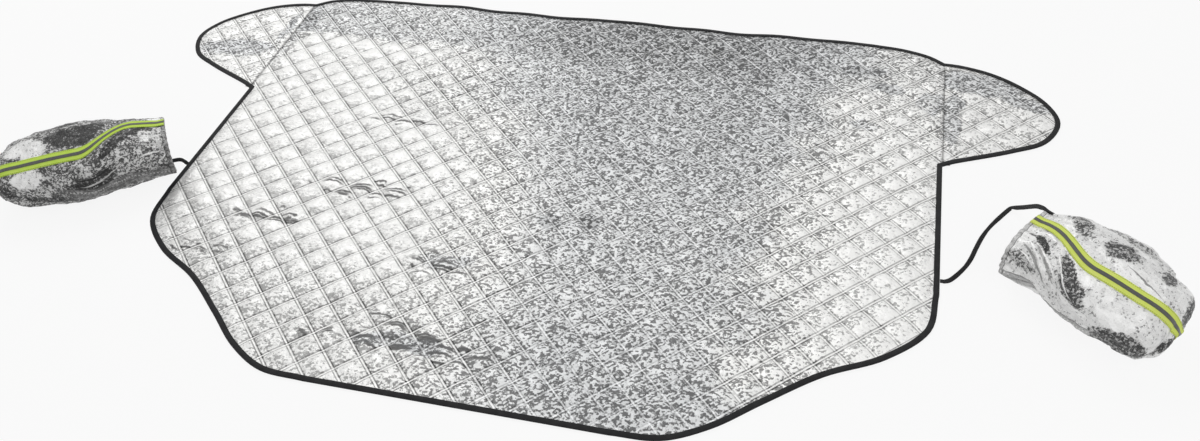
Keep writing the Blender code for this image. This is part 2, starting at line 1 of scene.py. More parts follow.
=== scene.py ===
"""Dressed scene of a windshield frost cover that lies spread out on a pale floor.

The quilted foil sheet, its two door flaps, the tape round its edge, the two padded mirror covers
and their elastic straps are built here over the CAD frame, each by its own class. All sizes are
metres, +X runs across the car, +Y to the roof edge, and +Z up from the floor.
"""

import logging
import math
from dataclasses import dataclass
from enum import Enum
from typing import Iterable, Sequence

import bmesh
import bpy
import numpy as np
from mathutils import Matrix, Vector, noise


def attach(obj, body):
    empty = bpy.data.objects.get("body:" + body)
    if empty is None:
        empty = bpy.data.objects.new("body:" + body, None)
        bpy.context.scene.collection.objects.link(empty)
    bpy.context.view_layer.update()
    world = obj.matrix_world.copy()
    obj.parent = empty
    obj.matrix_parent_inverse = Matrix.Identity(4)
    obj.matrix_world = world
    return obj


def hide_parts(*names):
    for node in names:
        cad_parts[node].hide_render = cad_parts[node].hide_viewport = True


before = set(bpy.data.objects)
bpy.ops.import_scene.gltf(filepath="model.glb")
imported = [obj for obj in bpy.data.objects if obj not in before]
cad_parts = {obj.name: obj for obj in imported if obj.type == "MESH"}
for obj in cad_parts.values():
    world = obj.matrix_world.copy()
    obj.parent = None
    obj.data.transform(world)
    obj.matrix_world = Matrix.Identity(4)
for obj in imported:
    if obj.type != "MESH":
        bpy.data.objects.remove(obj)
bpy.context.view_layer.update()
LOG = logging.getLogger("frost_cover")

Colour = tuple[float, float, float]
Place = tuple[float, float, float]
Point = tuple[float, float]
Number = float | int

# Sizes that the whole cover shares
HALF_WIDTH = 0.7275
ROOF_EDGE = 0.5490
WIPER_EDGE = 0.5575
FLAP_ROOT = 0.163
FLAP_TOP = 0.503
FLAP_REACH = 0.2205
CELL = 0.0462
RIM_INSET = 0.0022
SEAM_GAP = 0.0002

# Finishes that several pieces share
GAMMA = 2.2
BLACK: Colour = (0.0, 0.0, 0.0)
WHITE: Colour = (1.0, 1.0, 1.0)
ELASTIC_BLACK: Colour = (0.010, 0.010, 0.011)
ELASTIC_WORN: Colour = (0.05, 0.05, 0.052)
ELASTIC_RIB = 0.0013


class Side(Enum):
    """The two ends of the cover, by the sign of their X."""

    LEFT = -1
    RIGHT = 1

    @property
    def word(self) -> str:
        """Word that starts the names of this side's pieces."""
        return self.name.lower()


class Ways(Enum):
    """How a Voronoi texture measures distance."""

    ROUND = "EUCLIDEAN"
    BLOCKY = "CHEBYCHEV"


class Value:
    """A shader number or vector that Python's operators turn into nodes."""

    def __init__(self, sheet: "NodeSheet", socket: bpy.types.NodeSocket) -> None:
        """Hold a socket of a node sheet."""
        self.sheet = sheet
        self.socket = socket

    def math(self, operation: str, *others: "Value | Number", clamp: bool = False) -> "Value":
        """Add a Math node.

        Args:
            operation: Name of the Math node's operation.
            others: The further numbers of the operation.
            clamp: Keep the result from 0 to 1.

        Returns:
            The node's result.
        """
        inputs = {0: self}
        inputs.update({i + 1: other for i, other in enumerate(others)})
        made = self.sheet.node("ShaderNodeMath", {"operation": operation, "use_clamp": clamp}, inputs)
        return Value(self.sheet, made.outputs[0])

    def __add__(self, other: "Value | Number") -> "Value":
        """Sum."""
        return self.math("ADD", other)

    __radd__ = __add__

    def __sub__(self, other: "Value | Number") -> "Value":
        """Difference."""
        return self.math("SUBTRACT", other)

    def __rsub__(self, other: Number) -> "Value":
        """Difference from a number."""
        return self.math("MULTIPLY_ADD", -1.0, other)

    def __neg__(self) -> "Value":
        """Opposite."""
        return self.math("MULTIPLY", -1.0)

    def __mul__(self, other: "Value | Number") -> "Value":
        """Product."""
        return self.math("MULTIPLY", other)

    __rmul__ = __mul__

    def __truediv__(self, other: "Value | Number") -> "Value":
        """Quotient."""
        return self.math("DIVIDE", other)

    def __pow__(self, other: "Value | Number") -> "Value":
        """Power."""
        return self.math("POWER", other)

    def clamped(self) -> "Value":
        """The number kept from 0 to 1."""
        return self.math("ADD", 0.0, clamp=True)

    def least(self, other: "Value | Number") -> "Value":
        """The smaller of two numbers."""
        return self.math("MINIMUM", other)

    def most(self, other: "Value | Number") -> "Value":
        """The greater of two numbers."""
        return self.math("MAXIMUM", other)

    def size(self) -> "Value":
        """Absolute value."""
        return self.math("ABSOLUTE")

    def to_line(self) -> "Value":
        """Distance to the nearest whole number, 0 to 0.5."""
        return self.math("PINGPONG", 0.5)

    def rise(self, low: "Value | Number", high: "Value | Number") -> "Value":
        """Smooth step from 0 at low to 1 at high; low may be the greater."""
        made = self.sheet.node(
            "ShaderNodeMapRange",
            {"interpolation_type": "SMOOTHSTEP", "clamp": True},
            {"Value": self, "From Min": low, "From Max": high, "To Min": 0.0, "To Max": 1.0},
        )
        return Value(self.sheet, made.outputs[0])


Pair = tuple[Value, Value]


class NodeSheet:
    """Node tree of a material or of the world, with short ways to add nodes to it."""

    def __init__(self, name: str, kind: str = "materials") -> None:
        """Start a material that holds a Principled shader, or a world.

        Args:
            name: Name of the material or world.
            kind: Collection of bpy.data that it goes into.
        """
        self.owner = getattr(bpy.data, kind).new(name)
        self.owner.use_nodes = True
        self.tree = self.owner.node_tree

    def node(self, kind: str, settings: dict | None = None, inputs: dict | None = None) -> bpy.types.Node:
        """Add a node.

        Args:
            kind: Type name of the node.
            settings: Its settings, set first.
            inputs: Values or links of its sockets, by name or number.

        Returns:
            The node.
        """
        made = self.tree.nodes.new(kind)
        for name, setting in (settings or {}).items():
            setattr(made, name, setting)
        for name, given in (inputs or {}).items():
            self.feed(made.inputs[name], given)
        return made

    def feed(self, socket: bpy.types.NodeSocket, given: object) -> None:
        """Link or set a socket.

        Args:
            socket: The socket.
            given: A Value, an output socket, a number or a tuple.
        """
        if isinstance(given, Value):
            given = given.socket
        if isinstance(given, bpy.types.NodeSocket):
            self.tree.links.new(given, socket)
        elif socket.type == "RGBA" and len(given) == 3:
            socket.default_value = (*given, 1.0)
        else:
            socket.default_value = given

    def place(self) -> Value:
        """Object coordinates, in metres."""
        return Value(self, self.node("ShaderNodeTexCoord").outputs["Object"])

    def surface(self, name: str) -> Value:
        """A piece's own UV map, in metres along and across it."""
        return Value(self, self.node("ShaderNodeUVMap", {"uv_map": name}).outputs["UV"])

    def parts(self, vector: Value) -> tuple[Value, Value, Value]:
        """The three numbers of a vector."""
        made = self.node("ShaderNodeSeparateXYZ", None, {0: vector})
        return tuple(Value(self, out) for out in made.outputs)

    def join(self, x: Value | Number, y: Value | Number, z: Value | Number = 0.0) -> Value:
        """A vector from three numbers."""
        made = self.node("ShaderNodeCombineXYZ", None, {0: x, 1: y, 2: z})
        return Value(self, made.outputs[0])

    def noise(self, vector: Value, scale: float, detail: float = 2.0, rough: float = 0.5) -> Value:
        """Noise texture's number, about 0.5 on the whole."""
        inputs = {"Vector": vector, "Scale": scale, "Detail": detail, "Roughness": rough}
        return Value(self, self.node("ShaderNodeTexNoise", None, inputs).outputs["Fac"])

    def vector_math(self, operation: str, first: object, second: object) -> Value:
        """Add a Vector Math node.

        Args:
            operation: Name of the node's operation.
            first: First vector.
            second: Second vector, or the number of SCALE.

        Returns:
            The node's vector.
        """
        inputs = {0: first, "Scale" if operation == "SCALE" else 1: second}
        return Value(self, self.node("ShaderNodeVectorMath", {"operation": operation}, inputs).outputs[0])

    def shifted(self, vector: Value, scale: float, by: float) -> Value:
        """A vector pushed about by noise.

        Args:
            vector: The vector.
            scale: Scale of the noise.
            by: Greatest push.

        Returns:
            The pushed vector.
        """
        made = self.node("ShaderNodeTexNoise", None, {"Vector": vector, "Scale": scale, "Detail": 1.0})
        push = self.vector_math("SUBTRACT", made.outputs["Color"], (0.5, 0.5, 0.5))
        return self.vector_math("ADD", vector, self.vector_math("SCALE", push, 2.0 * by))

    def facets(self, vector: Value, pitch: float, ways: Ways, flat: bool) -> Value:
        """A random number, 0 to 1, for each facet of a mosaic.

        Args:
            vector: Where to read it.
            pitch: Distance between facets, in metres.
            ways: How distance is measured, which shapes the facets.
            flat: Read in two dimensions.

        Returns:
            The facet's number.
        """
        made = self.node(
            "ShaderNodeTexVoronoi",
            {"distance": ways.value, "voronoi_dimensions": "2D" if flat else "3D"},
            {"Vector": vector, "Scale": 1.0 / pitch, "Randomness": 0.85},
        )
        parted = self.node("ShaderNodeSeparateColor", None, {0: made.outputs["Color"]})
        return Value(self, parted.outputs[0])

    def blend(self, share: Value | Number, low: Value | Colour, high: Value | Colour) -> Value:
        """Colour between two colours.

        Args:
            share: 0 gives low and 1 gives high.
            low: First colour.
            high: Second colour.

        Returns:
            The mixed colour.
        """
        made = self.node("ShaderNodeMix", {"data_type": "RGBA"}, {0: share, 6: low, 7: high})
        return Value(self, made.outputs[2])

    def shown(self, level: Value, white: Value | Colour) -> Value:
        """Base colour for a brightness as it shows, from 0 to 1.

        Args:
            level: The brightness.
            white: Colour of a brightness of 1.

        Returns:
            The colour.
        """
        return self.blend(level.clamped() ** GAMMA, BLACK, white)

    def relief(self, height: Value, depth: float, under: Value | None = None, strength: float = 1.0) -> Value:
        """Bump from a height.

        Args:
            height: Height, 0 to 1.
            depth: Metres that a height of 1 stands for.
            under: Normal of a coarser relief below it.
            strength: Share of the relief that shows.

        Returns:
            The bent normal.
        """
        inputs = {"Height": height, "Distance": depth, "Strength": strength}
        if under:
            inputs["Normal"] = under
        return Value(self, self.node("ShaderNodeBump", None, inputs).outputs[0])

    def finish(self, **sockets: object) -> bpy.types.Material:
        """Set the shader's sockets.

        Args:
            sockets: Values by the socket's name in lower case with underscores.

        Returns:
            The finished material.
        """
        shader = self.tree.nodes["Principled BSDF"]
        names = {s.name.lower().replace(" ", "_"): s for s in shader.inputs}
        for name, given in sockets.items():
            self.feed(names[name], given)
        return self.owner

    def seen(self) -> Value:
        """1 for rays from the camera, through glass and off shiny surfaces, 0 for the rest."""
        path = self.node("ShaderNodeLightPath")
        kinds = [Value(self, path.outputs[f"Is {kind} Ray"]) for kind in ("Camera", "Glossy", "Transmission")]
        return kinds[0].most(kinds[1]).most(kinds[2])


@dataclass(frozen=True)
class Streak:
    """Oval patch of a foil: middle and half sizes in metres, turn in degrees, brightness, border."""

    x: float
    y: float
    wide: float
    deep: float
    turn: float = 0.0
    level: float = 0.0
    edge: float = 0.45

    def mask(self, x: Value, y: Value) -> Value:
        """Soft mask, 1 in the middle of the patch.

        Args:
            x: First coordinate, in metres.
            y: Second coordinate, in metres.

        Returns:
            The mask.
        """
        c, s = math.cos(math.radians(self.turn)), math.sin(math.radians(self.turn))
        along = ((x - self.x) * c + (y - self.y) * s) / self.wide
        across = ((y - self.y) * c - (x - self.x) * s) / self.deep
        return (along**2.0 + across**2.0).rise(1.0, self.edge)


def patches(x: Value, y: Value, spots: Iterable[Streak]) -> Value | Number:
    """Soft mask of several patches, 1 in the middle of each.

    Args:
        x: First coordinate, in metres.
        y: Second coordinate, in metres.
        spots: The patches.

    Returns:
        The mask.
    """
    total = None
    for spot in spots:
        mask = spot.mask(x, y)
        total = mask if total is None else total.most(mask)
    return total or 0.0


@dataclass(frozen=True)
class QuiltedFoil:
    """Bright foil face of the sheet and the flaps: mosaic of facets, quilting lines, crinkles.

    Brightness is painted reflection and painted shade, worked out as it shows, from 0 to 1, and turned into a
    base colour at the end.
    A pair of distances says where a line's edge starts and where it is full.
    """

    name: str
    phase: Point
    streaks: tuple[Streak, ...] = ()
    dull: tuple[Streak, ...] = ()
    flap: bool = False
    fleck_pitch: float = 0.0033
    grain_pitch: float = 0.0023
    channel: Point = (0.0019, 0.0010)
    wall_near: Point = (0.0011, 0.0017)
    wall_far: Point = (0.0040, 0.0031)
    seam_line: Point = (0.0065, 0.0005)
    crease_grey: float = 0.36
    draws: tuple[float, ...] = (0.0, 7.0, 13.0, 19.0)

    def tone(self, sheet: NodeSheet, x: Value, y: Value, place: Value) -> tuple[Value, Value | Number]:
        """Painted reflection brightness of the foil over the sheet, with painted shade in it.

        Args:
            sheet: Node sheet to build in.
            x: Distance across the car.
            y: Distance to the roof edge.
            place: Object coordinates.

        Returns:
            The tone, about 0 to 1, and how far a place belongs to the bright left end.
        """
        wander = sheet.noise(place, 9.0, 3.0, 0.6) - 0.5
        # Darker patches of the painted reflection, among them painted shade beside the seams.
        dull = patches(x + wander * 0.06, y + wander * 0.06, self.dull)
        if self.flap:
            return 0.86 + wander * 0.5 - dull * 0.72, 0.4
        # Painted reflection: the bright left end and the lit right end.
        left = (x + y * 0.18 + wander * 0.20).rise(0.10, -0.33)
        right = (x + wander * 0.24).rise(0.33, 0.66)
        soft = x.rise(-0.50, -0.15) * 0.06
        # Painted shade towards the far edge and beside the upper part of the seams.
        far = (y + wander * 0.05).rise(0.372 - soft, 0.396 + soft)
        seam = (x.size() - y * 0.25 + wander * 0.05).rise(0.60, 0.645) * y.rise(0.20, 0.30)
        middle = (y + wander * 0.2).rise(0.28, -0.15) * 0.20 + wander * 0.40
        lit = right * (1.24 - y.rise(-0.02, 0.30) * 0.44)
        tone = middle + left.most(lit) * (1.0 - middle)
        # Painted shade towards the near edge.
        near = (y + x * 0.2 + wander * 0.1).rise(-0.26, -0.46) * (0.08 + left * 0.18)
        return tone - far.most(seam * 0.8) * (0.34 + left * 0.38) - near - dull * 0.45, left

    def make(self) -> bpy.types.Material:
        """Build the material."""
        sheet = NodeSheet(self.name)
        place = sheet.place()
        x, y, _ = sheet.parts(place)
        per = math.sqrt(0.5) / CELL
        one = (x + y) * per - (self.phase[0] + self.phase[1]) * per
        two = (x - y) * per - (self.phase[0] - self.phase[1]) * per
        row, column = one.math("FLOOR"), two.math("FLOOR")
        u, v = one - row - 0.5, two - column - 0.5
        up, side = u - v, u + v
        tone, left = self.tone(sheet, x, y, place)
        blot = sheet.noise(place, 60.0, 3.0, 0.6)
        wave = sheet.shifted(place, 26.0, 0.012)
        stretch = {"Vector": wave, "Scale": (0.22, 1.0, 1.0)}
        combed = Value(sheet, sheet.node("ShaderNodeMapping", {"vector_type": "POINT"}, stretch).outputs[0])
        crease = sheet.noise(combed, 230.0, 3.0, 0.55)
        turned = sheet.join((x * 0.98 + y * 0.19) * 0.75, y * 0.98 - x * 0.19)
        fleck = sheet.facets(sheet.shifted(turned, 190.0, 0.0009), self.fleck_pitch, Ways.BLOCKY, True)
        grain = sheet.facets(place, self.grain_pitch, Ways.ROUND, True)
        speck = fleck * 0.66 + grain * 0.34
        soft = tone.rise(0.60, 1.0) * (0.30 + 0.45 * left)
        mark = speck + (crease - speck) * soft
        # Painted shade in the specks: more dark specks on the near side of each pillow at the bright left
        # end, and on its left side elsewhere.
        lean = -up * left + (up * 0.25 - side * 0.75) * (1.0 - left)
        body = tone.rise(0.05, 0.60)
        limit = 0.50 - tone * 0.15 + lean * (0.05 + body * 0.20) + (0.5 - blot) * (0.35 + body * 0.35)
        # Dark and light specks are painted reflection of the embossed facets.
        dark = mark.rise(limit + 0.12, limit - 0.12)
        high = (0.86 + tone * 0.24).least(1.0 - left * 0.035)
        low = 0.405 + tone * 0.235 + left * tone * 0.13
        level = high + (low - high) * dark
        # Painted shade in the crinkle lines at the bright left end.
        band = sheet.noise(combed, 24.0, 2.0).rise(0.46, 0.60)
        level = level - (crease - 0.5).size().rise(0.035, 0.0) * band * left * 0.20
        # Painted shade along creases in the streaked patches.
        if self.streaks:
            level = self.creased(sheet, level, (x, y), (up, side), sheet.join(row, column))
        level = self.stitched(sheet, level, (u, v), place, (tone, left))
        # Painted shade along both sides of the seams between the sheet and the flaps.
        seam = (x.size() - HALF_WIDTH).size().rise(*self.seam_line)
        level = level - seam * (0.12 + x.rise(0.1, -0.1) * 0.20)
        # Tint follows the painted reflection: bluish where the foil is painted grey, warm where it is painted
        # bright.
        tint = sheet.blend(body, (0.978, 0.990, 1.0), (1.0, 0.997, 0.982))
        ridges = sheet.noise(sheet.shifted(place, 60.0, 0.006), 120.0, 4.0, 0.65)
        first = sheet.relief(ridges + crease * 0.5, 0.0030)
        facet = sheet.relief(speck, 0.0008, first, 0.6)
        rough = 0.32 + dark * 0.10 + grain * 0.08
        return sheet.finish(base_color=sheet.shown(level, tint), metallic=0.5, roughness=rough, normal=facet)

    def creased(self, sheet: NodeSheet, level: Value, at: Pair, within: Pair, cell: Value) -> Value:
        """Add painted shade along long creases, bowed across their squares, in the streaked patches.

        Args:
            sheet: Node sheet to build in.
            level: Brightness so far.
            at: X and Y.
            within: Place in the square, up and sideways from its middle, -1 to 1.
            cell: Number of the square.

        Returns:
            The new brightness.
        """
        up, side = within
        bend = sheet.noise(sheet.place(), 45.0, 3.0, 0.6)
        where = patches(at[0] + (bend - 0.5) * 0.10, at[1] + (bend - 0.5) * 0.05, self.streaks)
        for shift in self.draws:
            number = sheet.vector_math("ADD", cell, (shift, 0.0, 0.0))
            draw = sheet.node("ShaderNodeTexWhiteNoise", {"noise_dimensions": "2D"}, {"Vector": number})
            first, second, third = sheet.parts(Value(sheet, draw.outputs["Color"]))
            line = up - (first - 0.5) * 1.3 + side * side * 0.30 + (bend - 0.5) * 0.55 + side * 0.04
            ends = (side - (second - 0.5) * 0.6).size().rise(0.90, 0.30)
            stroke = line.size().rise(0.11, 0.035) * ends * third.rise(0.02, 0.15)
            level = level + (self.crease_grey - level) * (stroke * where * 0.92)
        return level

    def stitched(self, sheet: NodeSheet, level: Value, within: Pair, place: Value, tones: Pair) -> Value:
        """Add the quilting channels: a painted highlight on each channel's floor between painted shade on its
        two walls, stronger on one way of lines than on the other, as light falls.

        Args:
            sheet: Node sheet to build in.
            level: Brightness so far.
            within: Place in the square along both quilting ways, -0.5 to 0.5.
            place: Object coordinates.
            tones: Tone, and how far a place belongs to the bright left end.

        Returns:
            The new brightness.
        """
        tone, left = tones
        fade = sheet.noise(place, 34.0, 3.0, 0.6).rise(0.30, 0.60)
        body = tone.rise(0.0, 0.5)
        # Painted shade on the channel walls and painted highlight on their floors, of a different strength on
        # each way of lines.
        wall_shades = (0.05 + body * 0.20 + left * 0.12, 0.05 + body * 0.28 - left * 0.06)
        channel_highlights = (0.62 + body * 0.26, 0.55 + body * 0.30)
        for across, strength, floor in zip(within, wall_shades, channel_highlights):
            off = (0.5 - across.size()) * CELL
            wall = off.rise(*self.wall_near) * off.rise(*self.wall_far)
            level = level - wall * strength * (0.45 + fade * 0.55)
            level = level + (0.99 - level) * (off.rise(*self.channel) * floor * (0.60 + fade * 0.40))
        return level


@dataclass(frozen=True)
class Backing:
    """Soft pale felt on the underside of the sheet."""

    name: str
    colour: Colour = (0.62, 0.62, 0.60)
    shade: float = 0.82

    def make(self) -> bpy.types.Material:
        """Build the material."""
        sheet = NodeSheet(self.name)
        place = sheet.place()
        fluff = sheet.noise(place, 900.0, 4.0, 0.7)
        blot = sheet.noise(place, 30.0, 3.0)
        low = tuple(c * self.shade for c in self.colour)
        colour = sheet.blend((fluff * 0.6 + blot * 0.4).rise(0.3, 0.7), low, self.colour)
        return sheet.finish(base_color=colour, roughness=0.92, normal=sheet.relief(fluff, 0.0006))


@dataclass(frozen=True)
class Webbing:
    """Woven tape: ribs across it, and stitching near its edges where it has any.

    The stitching's place is its distance from the tape's middle line.
    """

    name: str
    colour: Colour
    worn: Colour
    rib: float
    edge_stitch: float = 0.0
    rough: float = 0.62
    stitch_pitch: float = 0.0034

    def make(self) -> bpy.types.Material:
        """Build the material."""
        sheet = NodeSheet(self.name)
        run, over, _ = sheet.parts(sheet.surface("tape"))
        ribs = (run / self.rib).to_line() * 2.0
        weft = (over / (self.rib * 0.8)).to_line() * 2.0
        fuzz = sheet.noise(sheet.place(), 1400.0, 2.0)
        wear = sheet.noise(sheet.place(), 60.0, 3.0)
        mottled = (ribs * 0.45 + weft * 0.15 + fuzz * 0.4).rise(0.25, 0.80)
        colour = sheet.blend(mottled * wear.rise(0.25, 0.85), self.colour, self.worn)
        if self.edge_stitch:
            off = (over.size() - self.edge_stitch).size().rise(0.0007, 0.0003)
            beat = (run / self.stitch_pitch).to_line().rise(0.30, 0.36)
            colour = sheet.blend(off * (1.0 - beat), colour, tuple(c * 0.45 for c in self.colour))
        bump = sheet.relief(ribs * 0.7 + fuzz * 0.3, 0.0004)
        return sheet.finish(
            base_color=colour,
            roughness=self.rough + fuzz * 0.12,
            normal=bump,
            specular_ior_level=0.22,
        )


@dataclass(frozen=True)
class ReflectiveStrip:
    """Dark grey reflective strip with a fine bead texture, creased across at even steps."""

    name: str
    bead: float = 0.0009
    crease_step: float = 0.021
    dark: Colour = (0.075, 0.078, 0.072)
    light: Colour = (0.125, 0.13, 0.12)
    worn: Colour = (0.045, 0.05, 0.035)

    def make(self) -> bpy.types.Material:
        """Build the material."""
        sheet = NodeSheet(self.name)
        run, over, _ = sheet.parts(sheet.surface("tape"))
        beads = sheet.facets(sheet.place(), self.bead, Ways.ROUND, False)
        creases = (run / self.crease_step).to_line().rise(0.02, 0.0) * 0.3
        edge = over.size().rise(0.0024, 0.0034)
        colour = sheet.blend(beads, self.dark, self.light)
        colour = sheet.blend(edge * 0.5 + creases, colour, self.worn)
        bump = sheet.relief(beads, 0.0003)
        return sheet.finish(base_color=colour, roughness=0.42, metallic=0.25, normal=bump)


@dataclass(frozen=True)
class CoverFoil:
    """Crumpled foil of a mirror cover: painted highlight and shade patches, painted crease lines and a
    stitched hem on its surface maps.

    Spots deeper than crease_depth are patches with a tone of their own, and the rest are thin
    creases. The hem's four numbers are the start, the slope and the length of the border seam
    that runs back from the mouth, and the hem's grey.
    """

    name: str
    base: float
    spots: tuple[Streak, ...]
    hem: tuple[float, float, float, float]
    crease_depth: float = 0.004
    crush_pitch: float = 0.015
    fleck_pitch: float = 0.0034
    grain_pitch: float = 0.0021
    hem_width: float = 0.030
    stitch_pitch: float = 0.0060
    white: Colour = (1.0, 0.998, 0.99)

    def patched(self, tone: Value, crush: Value, run: Value, over: Value) -> Value:
        """Lay the broad painted highlight and painted shade patches over the tone.

        Args:
            tone: Tone so far.
            crush: Random number of each crushed facet.
            run: Distance from the mouth along the ridge.
            over: Distance from the ridge.

        Returns:
            The new tone.
        """
        for spot in self.spots:
            if spot.deep > self.crease_depth:
                tone = tone + (spot.level + (crush - 0.5) * 0.16 - tone) * spot.mask(run, over)
        return tone

    def creased(self, level: Value, run: Value, over: Value) -> Value:
        """Draw the thin creases over the brightness as painted highlight and painted shade lines.

        Args:
            level: Brightness so far.
            run: Distance from the mouth along the ridge.
            over: Distance from the ridge.

        Returns:
            The new brightness.
        """
        lines = gains = None
        for spot in self.spots:
            if spot.deep <= self.crease_depth:
                mask = spot.mask(run, over)
                gain = mask * spot.level
                lines = mask if lines is None else lines.most(mask)
                gains = gain if gains is None else gains.most(gain)
        return level if lines is None else level + (gains - level * lines) * 0.85

    def hemmed(self, level: Value, rim: Pair, wave: Value, rib: Value) -> Value:
        """Add the hem round the mouth and the border seam that runs back from it.

        Args:
            level: Brightness so far.
            rim: Distance from the mouth, and height above the cover's lower contour.
            wave: Slow noise that bends the lines.
            rib: Fine noise of the hem.

        Returns:
            The new brightness.
        """
        depth, height = rim
        start, slope, length, grey = self.hem
        border = depth * slope + wave * 0.006 - height + start
        ends = depth.rise(length, length * 0.8)
        band = border.rise(0.0, 0.0015) * border.rise(self.hem_width, self.hem_width - 0.004) * ends
        mouth = (depth + wave * 0.003).rise(0.0065, 0.0045)
        hem = grey + rib * 0.30 + (level - grey) * 0.35
        level = level + (hem - level) * band.most(mouth * 0.7)
        second = (border - 0.0165).size().rise(0.0012, 0.0004) * 0.6
        edge = border.size().rise(0.0016, 0.0005).most(second) * ends
        edge = edge.most((depth - 0.0062).size().rise(0.0010, 0.0003))
        level = level + (0.20 - level) * edge * 0.55
        beat = (depth / self.stitch_pitch).to_line().rise(0.22, 0.32)
        stitch = (border - 0.0085).size().rise(0.0018, 0.0009) * beat * ends
        return level + (grey + 0.34 - level) * stitch * 0.8

    def make(self) -> bpy.types.Material:
        """Build the material."""
        sheet = NodeSheet(self.name)
        place = sheet.place()
        run, over, _ = sheet.parts(sheet.surface("skin"))
        depth, height, _ = sheet.parts(sheet.surface("rim"))
        wander = sheet.noise(place, 30.0, 4.0, 0.65) - 0.5
        wave = sheet.noise(sheet.shifted(place, 20.0, 0.01), 55.0, 3.0, 0.6) - 0.5
        crush = sheet.facets(sheet.shifted(place, 45.0, 0.008), self.crush_pitch, Ways.ROUND, False)
        tone = self.base + wander * 0.30 + (crush - 0.5) * 0.20
        tone = self.patched(tone, crush, run + wave * 0.030, over + wander * 0.030)
        fleck = sheet.facets(sheet.shifted(place, 180.0, 0.0012), self.fleck_pitch, Ways.BLOCKY, False)
        grain = sheet.facets(place, self.grain_pitch, Ways.ROUND, False)
        speck = fleck * 0.6 + grain * 0.4
        # Dark and light specks are painted reflection of the foil's facets.
        limit = 1.03 - tone * 0.9675
        dark = speck.rise(limit + 0.12, limit - 0.12)
        level = (0.55 + tone * 0.42 - dark * 0.45).least(0.975).most(0.12)
        folds = sheet.noise(sheet.shifted(place, 40.0, 0.010), 75.0, 5.0, 0.7)
        # Painted highlight along the fold ridges and painted shade beside them.
        fold_highlight = (folds - 0.5).size().rise(0.014, 0.0)
        shaded = (folds - 0.53).size().rise(0.012, 0.0)
        level = level + (0.95 - level) * fold_highlight * (0.30 + tone * 0.25) - shaded * 0.16
        level = self.creased(level, run + wave * 0.006, over + wave * 0.006)
        rib = sheet.noise(sheet.shifted(place, 60.0, 0.004), 190.0, 3.0, 0.6) - 0.5
        colour = sheet.shown(self.hemmed(level, (depth, height), wave, rib), self.white)
        bump = sheet.relief(speck, 0.0008, sheet.relief(folds, 0.0036), 0.6)
        rough = 0.30 + dark * 0.12 + grain * 0.06
        return sheet.finish(base_color=colour, metallic=0.5, roughness=rough, normal=bump)


def spline(knots: Sequence[Vector], step: float) -> list[Vector]:
    """Points along a centripetal Catmull-Rom line.

    Args:
        knots: Points that the line goes through.
        step: Distance between the points that it gives, about.

    Returns:
        The points, both ends included.
    """
    line = [2 * knots[0] - knots[1], *knots, 2 * knots[-1] - knots[-2]]
    points: list[Vector] = []
    for a, b, c, d in zip(line, line[1:], line[2:], line[3:]):
        ta, tb = 0.0, math.sqrt((b - a).length)
        tc = tb + math.sqrt((c - b).length)
        td = tc + math.sqrt((d - c).length)
        count = max(1, round((c - b).length / step))
        for i in range(count):
            t = tb + (tc - tb) * i / count
            ab = a + (b - a) * ((t - ta) / (tb - ta))
            bc = b + (c - b) * ((t - tb) / (tc - tb))
            cd = c + (d - c) * ((t - tc) / (td - tc))
            abc = ab + (bc - ab) * ((t - ta) / (tc - ta))
            bcd = bc + (cd - bc) * ((t - tb) / (td - tb))
            points.append(abc + (bcd - abc) * ((t - tb) / (tc - tb)))
    points.append(knots[-1])
    return points


def put(name: str, bm: bmesh.types.BMesh, finishes: Sequence[bpy.types.Material]) -> bpy.types.Object:
    """Turn a bmesh into a piece of the object.

    Args:
        name: Name of the piece.
        bm: Its mesh, which is used up.
        finishes: Materials, by slot.

    Returns:
        The piece, shaded smooth, at the origin.
    """
    mesh = bpy.data.meshes.new(name)
    bm.to_mesh(mesh)
    bm.free()
    mesh.shade_smooth()
    for finish in finishes:
        mesh.materials.append(finish)
    piece = bpy.data.objects.new(name, mesh)
    bpy.context.scene.collection.objects.link(piece)
    return piece


def places(bm: bmesh.types.BMesh) -> np.ndarray:
    """Places of a bmesh's vertices, in their order."""
    return np.array([v.co[:] for v in bm.verts])


def rise(x: np.ndarray, low: float, high: float) -> np.ndarray:
    """Smooth step from 0 at low to 1 at high, over an array."""
    t = np.clip((x - low) / (high - low), 0.0, 1.0)
    return t * t * (3.0 - 2.0 * t)


